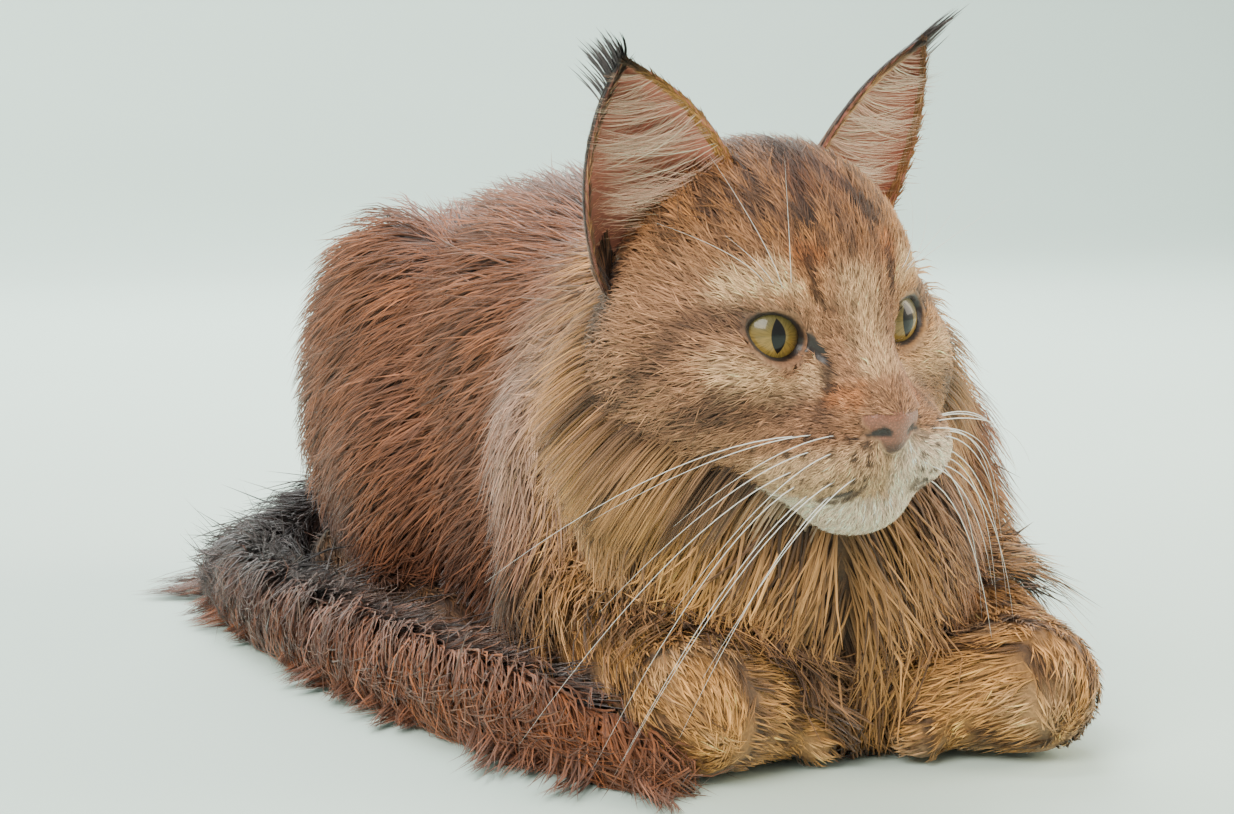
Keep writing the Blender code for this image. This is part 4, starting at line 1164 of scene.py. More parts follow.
def tuft_mesh(name, path, up, widths, outer, under, tones, patches):
    """One mesh of closed, three-sided tufts that taper to their tips."""
    count, stations = path.shape[:2]
    rings = stations - 1
    steps = np.arange(rings) / rings
    taper = np.interp(steps, np.linspace(0, 1, len(TAPER)), TAPER)
    along = unit(np.gradient(path, axis=1))
    across = unit(np.cross(along, up))
    rise = np.cross(across, along)
    half = (widths[:, None] / 2 * taper[None, :])[:, :, None]
    side = across[:, :rings] * half
    top = rise[:, :rings] * half * FLATNESS
    middle = path[:, :rings]
    ring = np.stack((middle + side - top * 0.5, middle + top, middle - side - top * 0.5), axis=2)
    corners = np.concatenate((ring.reshape(count, rings * 3, 3), path[:, rings:]), axis=1)
    corners[:, :, 2] = np.maximum(corners[:, :, 2], FLOOR * 0.6)
    size = rings * 3 + 1
    loops, starts = tuft_faces(rings)
    mesh = bpy.data.meshes.new(name)
    mesh.vertices.add(count * size)
    mesh.loops.add(count * len(loops))
    mesh.polygons.add(count * len(starts))
    numbers = np.arange(count)[:, None]
    all_loops = (loops[None, :] + numbers * size).ravel()
    mesh.vertices.foreach_set("co", corners.ravel())
    mesh.loops.foreach_set("vertex_index", all_loops)
    mesh.polygons.foreach_set("loop_start", (starts[None, :] + numbers * len(loops)).ravel())
    mesh.polygons.foreach_set("use_smooth", np.ones(count * len(starts), dtype=bool))
    mesh.update(calc_edges=True)
    lengthwise = np.append(np.repeat(steps, 3), 1.0)
    crosswise = np.append(np.tile((-1.0, 0.0, 1.0), rings), 0.0)
    # Roots take the darker under colour: partly a darker under coat, partly painted shade deep in the coat.
    shade = smooth(lengthwise, 0.0, 0.55)[None, :, None]
    colours = under[:, None, :] * (1 - shade) + outer[:, None, :] * shade
    ends = np.clip(tones - 1.0 + 2.0 * TIPPED, 0.0, 1.0)[:, None, None]
    ends = ends * smooth(lengthwise, 0.55, 0.95)[None, :, None]
    colours = colours * (1.0 - 0.75 * np.minimum(ends * 3.0, 1.0))
    strand = np.empty((count, size, 3), dtype=np.float32)
    strand[:, :, 0] = lengthwise
    strand[:, :, 1] = crosswise
    strand[:, :, 2] = tones[:, None]
    paint(mesh, "coat", colours.reshape(-1, 3))
    store(mesh, "strand", strand.reshape(-1, 3))
    spread = np.empty((count, size, 2))
    spread[:, :, 0] = patches[:, None, 0] + crosswise * PATCH
    spread[:, :, 1] = patches[:, None, 1] + (lengthwise * 2 - 1) * PATCH
    layer = mesh.uv_layers.new(name="OFBake")
    layer.data.foreach_set("uv", spread.reshape(-1, 2)[all_loops].ravel())
    leans = np.stack((across[:, :rings] * SIDE_LEAN + rise[:, :rings] * 0.2, rise[:, :rings],
                      across[:, :rings] * -SIDE_LEAN + rise[:, :rings] * 0.2), axis=2)
    leans = leans + up[:, :rings, None, :] * SKIN_LEAN
    leans = np.concatenate((leans.reshape(count, rings * 3, 3), up[:, rings:] + rise[:, rings:]), axis=1)
    mesh.normals_split_custom_set_from_vertices(unit(leans).reshape(-1, 3))
    return mesh


MOST_TRIANGLES = 190000
TUFT_CONTRAST = 0.24
LOCK_CONTRAST = 0.24


def add_coat(labels, names, slots, finish, *tufts):
    """Pieces of the coat, one or more for each label; the tufts are given as to tuft_mesh."""
    rings = tufts[0].shape[1] - 1
    triangles = 6 * (rings - 1) + 4
    for label, name in enumerate(names):
        members = np.nonzero(labels == label)[0]
        pieces = max(1, math.ceil(len(members) * triangles / MOST_TRIANGLES))
        for number, chosen in enumerate(np.array_split(members, pieces)):
            if len(chosen) == 0:
                continue
            full = name if pieces == 1 else f"{name}_{number + 1}"
            mesh = tuft_mesh(full, *(values[chosen] for values in tufts))
            piece = link(mesh, full)
            mesh.materials.append(finish)
            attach(piece, "root")


def lively(outer, under, draw, roots=None, locks=0.009):
    """Outer and under colours of tufts, uneven as in a ticked coat, and the tone of each tuft."""
    share = np.exp(draw.normal(0.0, TUFT_CONTRAST, len(outer)))
    if roots is not None:
        share = share * np.exp(LOCK_CONTRAST * ripple(roots, locks, 31))
    share = share[:, None]
    tones = draw.uniform(-1.0, 1.0, len(outer))
    return np.clip(outer * share, 0.0, 0.95), np.clip(under * share, 0.0, 0.9), tones


def amount(number):
    """Number of tufts, as asked for."""
    return number


def thicken():
    """Factor for the width of tufts, here always one."""
    return 1.0


# The head's short coat

def head_lie(points):
    """Away from the tip of the nose, and down over the cheeks."""
    local = to_head(points) / MM
    away = unit(local - np.array((0.0, -70.0, -17.0)))
    side = smooth(np.abs(local[:, 0]), 12, 35) * smooth(10 - local[:, 2], 0, 25)
    away[:, 2] -= 0.45 * side
    nape = smooth(local[:, 1], 5, 35)[:, None]
    away = away * (1 - nape) + np.array((0.0, 1.0, -0.55)) * nape
    away[:, 0] += np.sign(local[:, 0]) * 0.25 * side
    for eye in (1, -1):
        inwards = eye_frame(eye)[0] / MM - local
        distance = np.linalg.norm(inwards, axis=1)
        inwards = unit(inwards)
        near = 1.0 - smooth(distance, 14, 24)
        crossing = np.maximum(np.einsum("ij,ij->i", away, inwards) + 0.25, 0.0)
        away = away - inwards * (1.2 * near * crossing)[:, None]
    return away @ np.array(head_matrix())[:3, :3].T


def head_growth(points):
    """Length, width and height of the tufts of the head."""
    mirrored = in_millimetres(to_head(points))[1]
    x, y, z = mirrored.T
    length = 4.0 + 6.0 * smooth(y, -52, -15) + 5.0 * smooth(z, 18, 46) + 4.0 * smooth(x, 26, 46)
    cheek = smooth(y, -18, 12) * smooth(-z, -8, 18)
    jaw = smooth(-z, 20, 36) * smooth(y, -30, -5)
    nape = smooth(y, 8, 34)
    length = length + 13.0 * cheek + 14.0 * jaw + 10.0 * nape
    chin = smooth(-z, 38, 50)
    length = length + 4.0 * chin * smooth(y, -50, -30)
    crown = smooth(z, 10, 40)
    length = length + 5.0 * crown * smooth(y, -25, 5)
    length = length * (0.55 + 0.45 * smooth(lip_line(mirrored), 1.0, 6.0))
    height = 0.8 + (0.12 + 0.10 * crown) * length + 2.5 * cheek + 1.5 * jaw + 2.0 * nape
    width = 0.25 + 0.017 * length
    return length * MM, width * MM, height * MM


LID_CLEARANCE = 0.30


def furred(points):
    """Where the head carries fur: clear of the eyes, the nose leather, nostrils and lips."""
    local = to_head(points)
    size, mirrored = in_millimetres(local)
    free = np.ones(len(points), dtype=bool)
    for side in (1, -1):
        free &= (lid_opening(local, side) / MM > LID_CLEARANCE) | (local[:, 1] > -0.02)
    leather = (nose_field(size, mirrored) < 0.7) & (size[:, 1] < -55) & (size[:, 2] < -17.0)
    free &= ~leather
    return free & (nostril_field(mirrored) > 0.6) & (lip_line(mirrored) > 1.0) & (eye_corner(mirrored) > 0.5)


HEAD_COAT = ("muzzle_fur", "brow_fur", "cheek_fur_right", "cheek_fur_left", "crown_fur")


def head_labels(points):
    """Index in HEAD_COAT of the piece that carries each point of the head."""
    local = to_head(points) / MM
    x, y, z = local.T
    labels = np.where(x < 0, 2, 3)
    labels[(z > 12) & (y < -12)] = 1
    labels[(y < -38) & (z < 12)] = 0
    labels[(y > 2) & (z > -8)] = 4
    return labels


# Grid steps and boxes that the skin is meshed in; the head's box is given from its centre
BODY_VOXEL = 0.0032
HEAD_VOXEL = 0.00105
BODY_BOX = ((-0.150, -0.230, -0.004), (0.115, 0.275, 0.180))
HEAD_BOX = ((-0.070, -0.078, -0.068), (0.070, 0.068, 0.068))
# Share of the dark under colour, as painted shade, in the colour of the head's skin
HEAD_SKIN_SHADE_SHARE = 0.45


class CAT_OT_skin(bpy.types.Operator):
    """Mesh the skin of head, ears, body and tail, and unwrap it for the coat"""
    bl_idname = "cat.skin"
    bl_label = "Skin"

    def execute(self, context):
        coarse = BODY_VOXEL
        fine = HEAD_VOXEL
        body = settle(*surface_of(above_floor(body_field), *BODY_BOX, coarse), 2)
        low, high = np.array(HEAD_CENTRE) + np.array(HEAD_BOX)
        head = settle(*surface_of(head_field, low, high, fine), 1)
        shells = [body, head, ear_sheet(1), ear_sheet(-1)]
        bare = []
        coats = []
        for index, shell in enumerate(shells):
            places = mesh_corners(shell)
            # Skin under the fur takes the dark under colour as painted shade between the tufts; on the head
            # only part way.
            if index == 0:
                coats.append(coat_colours(places)[1])
                bare.append(np.zeros((len(places), 3)))
            else:
                outer, under = head_colours(places)
                head_coat = mix(outer, under, np.full(len(places), HEAD_SKIN_SHADE_SHARE))
                coats.append(head_coat if index == 1 else ear_down(places))
                bare.append(bare_skin(places) if index == 1 else in_ear(shell, 5 - 2 * index))
        joined = bmesh.new()
        for shell in shells:
            joined.from_mesh(shell)
            bpy.data.meshes.remove(shell)
        mesh = bpy.data.meshes.new("skin")
        joined.to_mesh(mesh)
        joined.free()
        paint(mesh, "coat", np.concatenate(coats))
        store(mesh, "bare", np.concatenate(bare))
        mesh.polygons.foreach_set("use_smooth", np.ones(len(mesh.polygons), dtype=bool))
        skin = link(mesh, "skin")
        mesh.uv_layers.new(name="OFBake")
        bpy.ops.object.select_all(action="DESELECT")
        skin.select_set(True)
        context.view_layer.objects.active = skin
        bpy.ops.object.mode_set(mode="EDIT")
        bpy.ops.mesh.select_all(action="SELECT")
        bpy.ops.uv.smart_project(angle_limit=math.radians(66), island_margin=0.002)
        bpy.ops.object.mode_set(mode="OBJECT")
        mesh.materials.append(skin_material())
        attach(skin, "root")
        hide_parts("head", "neck", "torso", "foreleg_left", "foreleg_right", "hindleg_left",
                    "hindleg_right", "tail_base", "tail_middle", "tail_tip", "ear_left", "ear_right")
        return {"FINISHED"}


CORNEA_BULGE = 0.075
EYEBALL_SHARE = 0.985


class CAT_OT_eyes(bpy.types.Operator):
    """Turn both eyeballs with their iris, slit pupil and bulging cornea"""
    bl_idname = "cat.eyes"
    bl_label = "Eyes"

    def execute(self, context):
        finish = eye_material()
        for side, name in ((1, "eyeball_left"), (-1, "eyeball_right")):
            centre, forward, outward, rise = eye_frame(side)
            shape = bmesh.new()
            bmesh.ops.create_uvsphere(shape, u_segments=96, v_segments=64, radius=1.0)
            mesh = bpy.data.meshes.new(name)
            shape.to_mesh(mesh)
            shape.free()
            gaze = mesh_corners(mesh)
            off_axis = np.linalg.norm(gaze[:, :2], axis=1)
            front = gaze[:, 2] > 0
            bulge = np.where(front, CORNEA_BULGE * (1.0 - smooth(off_axis, 0.25, 0.85)), 0.0)
            size = EYE_RADIUS * EYEBALL_SHARE * (1.0 + bulge)
            basis = np.stack((outward, rise, forward))
            local = centre + (gaze * size[:, None]) @ basis
            mesh.vertices.foreach_set("co", from_head(local).ravel())
            store(mesh, "gaze", gaze)
            mesh.polygons.foreach_set("use_smooth", np.ones(len(mesh.polygons), dtype=bool))
            turn_outwards(mesh)
            eye = link(mesh, name)
            mesh.materials.append(finish)
            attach(eye, "root")
            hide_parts("eye_left" if side > 0 else "eye_right")
        return {"FINISHED"}


# How far from its centre the head's fur roots, and how near to a skin its roots are
HEAD_REACH = 0.085
ON_HEAD = 0.0012
ON_BODY = 0.003
# Tufts scattered for each one that is asked for, since some fall on eyes, nose and lips
HEAD_SURPLUS = 1.12
JAW_TUFTS = 5500
# Widths of long tufts before they taper; the head's follow from their lengths
TUFT_WIDTHS = {"jaw": 0.00060, "body": 0.00090, "leg": 0.0006, "tail": 0.00085, "fringe": 0.0006}


class CAT_OT_head_coat(bpy.types.Operator):
    """Grow the short, fine coat of the face, crown and cheeks"""
    bl_idname = "cat.head_coat"
    bl_label = "Coat of the head"

    def execute(self, context):
        draw = np.random.default_rng(SEED)
        sizes = context.scene.coat_sizes

        def weigh(points, _normals):
            near = np.linalg.norm(points - np.array(HEAD_CENTRE), axis=1) < HEAD_REACH
            length, width, _height = head_growth(points)
            on_head = np.abs(head_field(points)) < ON_HEAD
            return near * on_head * (body_field(points) > -0.001) / (length * width) ** 0.85

        roots, normals, patches = scatter(int(amount(sizes.head_tufts) * HEAD_SURPLUS), weigh, draw)
        kept = furred(roots) & (normals[:, 2] > -0.97)
        roots, normals, patches = roots[kept], normals[kept], patches[kept]
        lengths, widths, heights = head_growth(roots)
        lengths = lengths * draw.uniform(0.75, 1.25, len(roots))
        path, up = grow(roots, head_field, head_lie, lengths, heights, 2, sizes.clumping * 0.45, draw,
                        every=7, sway=0.2)
        outer, under, tones = lively(*head_colours(roots), draw, roots, 0.0032)
        finish = fur_material("short_coat", 0.62, 0.2)
        slots = ("head_fur",) * len(HEAD_COAT)
        add_coat(head_labels(roots), HEAD_COAT, slots, finish, path, up, widths * thicken(),
                 outer, under, tones, patches)
        self.jaw(draw, finish)
        return {"FINISHED"}

    def jaw(self, draw, finish):
        """Longer hair from the back of the cheeks and the jaw that hangs over the ruff."""
        def weigh(points, _normals):
            size = to_head(points) / MM
            y, z = size[:, 1], size[:, 2]
            near = np.linalg.norm(points - np.array(HEAD_CENTRE), axis=1) < HEAD_REACH
            band = smooth(y, -34, -18) * (1.0 - smooth(z, 14, 30)) * (1.0 - smooth(y, 26, 36))
            seam = smooth(0.026 - body_field(points), 0.0, 0.012) * (body_field(points) > -0.001)
            return near * (np.abs(head_field(points)) < ON_HEAD) * band * seam

        roots, normals, patches = scatter(amount(JAW_TUFTS), weigh, draw)
        low = smooth(-normals[:, 2], 0.1, 0.8)
        lift = normals * (0.55 - 0.25 * low)[:, None]
        heading = unit(head_lie(roots) + lift - (0.0, 0.0, 0.35))
        lengths = draw.uniform(0.014, 0.030, len(roots))
        down = rows((0.0, 0.05, -0.30), len(roots))
        path, up = straight_paths(roots, heading, normals, lengths, 3, down)
        outer, under = head_colours(roots)
        ruff, deep = body_colours(roots)
        share = 0.7 * draw.random(len(roots)) + 0.5 * low
        outer, under, tones = lively(mix(outer, ruff, share), mix(under, deep, share), draw, roots, 0.006)
        widths = TUFT_WIDTHS["jaw"] * draw.uniform(0.6, 1.3, len(roots)) * thicken()
        add_coat(np.zeros(len(roots), dtype=int), ("jaw_fur",), ("ruff_fur",), finish, path, up, widths,
                 outer, under, tones, patches)


def trunk_lie(points):
    """Back along the body and down its sides, down and outwards on the chest."""
    front = np.clip((-0.085 - points[:, 1]) / 0.05, 0.0, 1.0)[:, None]
    flank = np.clip(np.abs(points[:, 0]) / BODY_HALF_WIDTH, 0.0, 1.0)[:, None]
    down = np.array((0.0, 0.0, -1.0))
    back = np.array((0.0, 1.0, 0.0)) + down * (0.25 + 0.85 * flank)
    outward = np.column_stack(
        (np.sign(points[:, 0] + 0.02) * 0.35, np.full(len(points), 0.10), -np.ones(len(points))))
    return unit(back * (1 - front) + outward * front)


def haunch_lie(points):
    """Down and back over the thigh."""
    lie = rows((0.0, 0.75, -0.85), len(points))
    lie[:, 0] = np.sign(points[:, 0]) * 0.1
    return unit(lie)


def foreleg_lie(points):
    """Along the forearm to the wrist and on to the toes."""
    lie = np.zeros_like(points)
    best = np.full(len(points), 9.0)
    for side in (1, -1):
        route = [np.array(place) for place in foreleg_route(side)]
        for start, end in zip(route[:-1], route[1:]):
            distance = limb(points, start, end, 0.0, 0.0)
            closer = distance < best
            lie[closer] = unit(end - start)
            best[closer] = distance[closer]
    lie[:, 2] -= 0.25
    return unit(lie)


def hind_foot_lie(points):
    return rows((0.0, -1.0, -0.2), len(points))


def tail_lie(points):
    """Along the tail to its tip and outwards, away from the body."""
    curve = np.array([place[:3] for place in tail_curve()])
    along = np.gradient(curve, axis=0)
    nearest = np.argmin(np.linalg.norm(points[:, None, :2] - curve[None, :, :2], axis=2), axis=1)
    forward = unit(along[nearest])
    outward = np.column_stack((forward[:, 1], -forward[:, 0], np.zeros(len(points))))
    spread = np.einsum("ij,ij->i", points - curve[nearest], outward) / 0.015
    lean = np.clip(0.35 + 0.60 * spread, -0.20, 1.30)[:, None]
    lie = forward + outward * lean
    lie[:, 2] -= 0.25
    return unit(lie)


def coat_lie(points):
    """Lie of the coat anywhere below the head."""
    part = part_at(points)
    lie = trunk_lie(points)
    for chosen, rule in ((is_haunch(part), haunch_lie), (is_foreleg(part), foreleg_lie),
                         (is_hind_foot(part), hind_foot_lie), (part == TAIL, tail_lie)):
        if chosen.any():
            lie[chosen] = rule(points[chosen])
    return lie


def open_to_air(points, normals):
    """Roots on the outside, clear of the floor and of what lies against them."""
    return (cat_field(points + normals * 0.002) > 0.0009) & (points[:, 2] > 0.004)


# The ruff's pieces lie in front of this
RUFF_BACK = -0.07


class CAT_OT_body_coat(bpy.types.Operator):
    """Grow the long coat of ruff, flanks, back and haunches"""
    bl_idname = "cat.body_coat"
    bl_label = "Coat of the body"

    def execute(self, context):
        draw = np.random.default_rng(SEED + 1)
        sizes = context.scene.coat_sizes

        def weigh(points, normals):
            part = part_at(points)
            upper_arm = is_foreleg(part) & (points[:, 2] > 0.050)
            long_haired = (part == TRUNK) | is_haunch(part) | upper_arm
            on_body = np.abs(body_field(points)) < ON_BODY
            clear = head_field(points) > 0.0015
            chest = 1.0 + 0.6 * (points[:, 1] < RUFF_BACK)
            return long_haired * on_body * clear * open_to_air(points, normals) * chest

        roots, normals, patches = scatter(amount(sizes.body_tufts), weigh, draw)
        chest = smooth(-roots[:, 1], 0.06, 0.11)
        lengths = sizes.long_hair * (1 - chest) + sizes.ruff_hair * chest
        part = part_at(roots)
        thigh = is_haunch(part)
        lengths = lengths * np.where(thigh, 0.90, 1.0) * draw.uniform(0.7, 1.2, len(roots))
        top = smooth(normals[:, 2], 0.1, 0.7)
        heights = TRUNK_COAT * (0.85 + 0.10 * chest + 0.25 * top) * np.where(thigh, 0.95, 1.0)
        widths = TUFT_WIDTHS["body"] * draw.uniform(0.6, 1.3, len(roots)) * thicken()
        path, up = grow(roots, above_floor(body_field), coat_lie, lengths, heights, 3, sizes.clumping, draw,
                        every=11)
        outer, under, tones = lively(*coat_colours(roots), draw, roots)
        names = ("ruff_coat", "flank_coat_right", "flank_coat_left", "back_coat",
                 "haunch_coat_right", "haunch_coat_left")
        slots = ("ruff_fur", "flank_fur", "flank_fur", "flank_fur", "haunch_fur", "haunch_fur")
        labels = np.where(roots[:, 0] < 0, 1, 2)
        labels[normals[:, 2] > 0.7] = 3
        labels[part == HAUNCH_RIGHT] = 4
        labels[part == HAUNCH_LEFT] = 5
        labels[roots[:, 1] < RUFF_BACK] = 0
        finish = fur_material("long_coat", 0.55, 0.25)
        add_coat(labels, names, slots, finish, path, up, widths, outer, under, tones, patches)
        return {"FINISHED"}


class CAT_OT_leg_coat(bpy.types.Operator):
    """Grow the short coat of forelegs, paws and hind feet"""
    bl_idname = "cat.leg_coat"
    bl_label = "Coat of the legs"

    def execute(self, context):
        draw = np.random.default_rng(SEED + 2)
        sizes = context.scene.coat_sizes

        def weigh(points, normals):
            part = part_at(points)
            short_haired = is_leg(part) & (points[:, 2] < 0.062)
            paws = 1.0 + 1.2 * smooth(-points[:, 1], 0.12, 0.15) + 1.2 * (part >= FOOT_LEFT)
            on_body = np.abs(body_field(points)) < ON_BODY
            return short_haired * on_body * open_to_air(points, normals) * paws

        roots, normals, patches = scatter(amount(sizes.leg_tufts), weigh, draw)
        paw = smooth(0.030 - roots[:, 2], 0.0, 0.02)
        lengths = sizes.leg_hair * (1.5 - 0.75 * paw) * draw.uniform(0.7, 1.2, len(roots))
        heights = LEG_COAT * (0.60 - 0.25 * paw)
        widths = TUFT_WIDTHS["leg"] * draw.uniform(0.7, 1.3, len(roots)) * thicken()
        path, up = grow(roots, above_floor(body_field), coat_lie, lengths, heights, 2, sizes.clumping * 0.4,
                        draw)
        outer, under, tones = lively(*leg_colours(roots), draw, roots, 0.005)
        names = ("foreleg_coat_right", "foreleg_coat_left", "hind_foot_coat")
        slots = ("foreleg_fur", "foreleg_fur", "haunch_fur")
        part = part_at(roots)
        labels = np.where(part == FORELEG_RIGHT, 0, np.where(part == FORELEG_LEFT, 1, 2))
        finish = fur_material("leg_coat", 0.6, 0.2)
        add_coat(labels, names, slots, finish, path, up, widths, outer, under, tones, patches)
        return {"FINISHED"}


FRINGE_TUFTS = 1500
TAIL_COAT_HEIGHT = 0.0125
FRINGE_HEIGHT = 0.0015


class CAT_OT_tail_coat(bpy.types.Operator):
    """Grow the plume of the tail and its fringe along the floor"""
    bl_idname = "cat.tail_coat"
    bl_label = "Coat of the tail"

    def execute(self, context):
        draw = np.random.default_rng(SEED + 3)
        sizes = context.scene.coat_sizes

        def weigh(points, normals):
            on_tail = (part_at(points) == TAIL) & (np.abs(body_field(points)) < ON_BODY)
            return on_tail * (points[:, 2] > 0.0015) * (1.0 + (normals[:, 2] > 0.3))

        roots, normals, patches = scatter(amount(sizes.tail_tufts), weigh, draw)
        lengths = sizes.tail_hair * draw.uniform(0.6, 1.15, len(roots))
        heights = np.full(len(roots), TAIL_COAT_HEIGHT)
        widths = TUFT_WIDTHS["tail"] * draw.uniform(0.6, 1.3, len(roots)) * thicken()
        path, up = grow(roots, above_floor(tail_field), tail_lie, lengths, heights, 3, sizes.clumping, draw,
                        every=10, sway=0.2)
        outer, under, tones = lively(*tail_colours(roots), draw, roots)
        names = ("tail_coat_root", "tail_coat_middle", "tail_coat_end")
        labels = np.where(roots[:, 1] > 0.118, 0, np.where(roots[:, 1] > -0.020, 1, 2))
        finish = fur_material("tail_coat", 0.45, 0.3)
        add_coat(labels, names, ("tail_fur",) * 3, finish, path, up, widths, outer, under, tones, patches)
        self.fringe(draw, sizes, finish)
        return {"FINISHED"}

    def fringe(self, draw, sizes, finish):
        """Loose wisps that leave the outer side of the tail and lie on the floor."""
        def weigh(points, _normals):
            curve = np.array([place[:2] for place in tail_curve()])
            nearest = curve[np.argmin(np.linalg.norm(points[:, None, :2] - curve[None], axis=2), axis=1)]
            from_middle = nearest - np.array((0.0, 0.04))
            outer_side = np.einsum("ij,ij->i", points[:, :2] - nearest, from_middle) > 0.0
            on_tail = (part_at(points) == TAIL) & (np.abs(body_field(points)) < ON_BODY)
            return on_tail * outer_side * (points[:, 2] < 0.014) * (points[:, 2] > 0.0015)

        roots, _normals, patches = scatter(amount(FRINGE_TUFTS), weigh, draw)
        locks = ripple(roots, 0.030, 51)
        lengths = sizes.tail_hair * (0.74 + 0.20 * locks) * draw.uniform(0.85, 1.1, len(roots))
        lengths = lengths * (1.0 - 0.45 * smooth(-roots[:, 0], 0.095, 0.125))

        def lie(points):
            outwards = unit(points * (1.0, 1.0, 0.0) - (0.0, 0.04, 0.0)) * (1.0, 1.0, 0.0)
            turn = ripple(points, 0.035, 52)[:, None] * 0.7
            sideways = np.column_stack((-outwards[:, 1], outwards[:, 0], np.zeros(len(points))))
            return unit(tail_lie(points) * 0.9 + outwards * 0.7 + sideways * turn)

        def floor_field(points):
            return points[:, 2] - FRINGE_HEIGHT

        heights = np.full(len(roots), FRINGE_HEIGHT)
        path, up = grow(roots, floor_field, lie, lengths, heights, 4, 0.9, draw, every=24, sway=0.06)
        blend_in = np.linspace(0.0, 1.0, path.shape[1])[None, :] ** 0.6
        path[:, :, 2] = roots[:, 2:3] * (1.0 - blend_in) + path[:, :, 2] * blend_in
        path[:, :, 2] = np.maximum(path[:, :, 2], FLOOR)
        outer, under, tones = lively(*tail_colours(roots), draw, roots)
        widths = np.full(len(roots), TUFT_WIDTHS["fringe"]) * thicken()
        add_coat(np.zeros(len(roots), dtype=int), ("tail_fringe",), ("tail_fur",), finish, path, up, widths,
                 outer, under, tones, patches)


# Ears: down on the back, long pale hair across the cup, and a dark fan at the tip

def ear_frame(across, up, side):
    """Place, outward direction (out of the back of the cup) and direction to the tip."""
    step = 0.01
    place = ear_point(across, up, side)
    sideways = ear_point(across + step, up, side) - place
    tipwards = unit(ear_point(across, np.minimum(up + step, 0.999), side) - place)
    behind = unit(np.cross(tipwards, sideways)) * side
    forward = np.array(head_matrix())[:3, :3] @ np.array((0.0, -1.0, 0.0))
    centre = from_head(np.array([[side * 0.030, -0.010, 0.040]]))[0]
    away = np.einsum("ij,ij->i", behind, place - centre + forward * -0.03)
    behind *= np.sign(away)[:, None]
    return place, behind, tipwards


def ear_patches(across, up, side):
    """Map places for the fur of an ear: the nearest corner of the skin's own map."""
    places, _normals, _areas, spread = read_skin()
    middles = places.mean(axis=1)
    ear = from_head(np.array([[side * 0.04, 0.005, 0.055]]))[0]
    near = np.nonzero(np.linalg.norm(middles - ear, axis=1) < 0.06)[0]
    finder = KDTree(len(near))
    for index, triangle in enumerate(near):
        finder.insert(middles[triangle], index)
    finder.balance()
    spots = ear_point(across, up, side)
    return np.array([spread[near[finder.find(spot)[1]]].mean(axis=0) for spot in spots])


def straight_paths(roots, heading, ups, lengths, sections, droop):
    """Gently bent paths that leave the roots along a heading and droop towards a direction."""
    steps = np.linspace(0.0, 1.0, sections + 1)[None, :, None]
    path = roots[:, None, :] + heading[:, None, :] * lengths[:, None, None] * steps
    path = path + droop[:, None, :] * lengths[:, None, None] * steps ** 2
    return path, np.repeat(ups[:, None, :], sections + 1, axis=1)


EAR_BACK_TUFTS = 2400
EAR_INNER_TUFTS = 520
EAR_LINING_TUFTS = 700
EAR_EDGE_TUFTS = 2400
EAR_FAN_TUFTS = 150
EAR_FOOT_TUFTS = 420


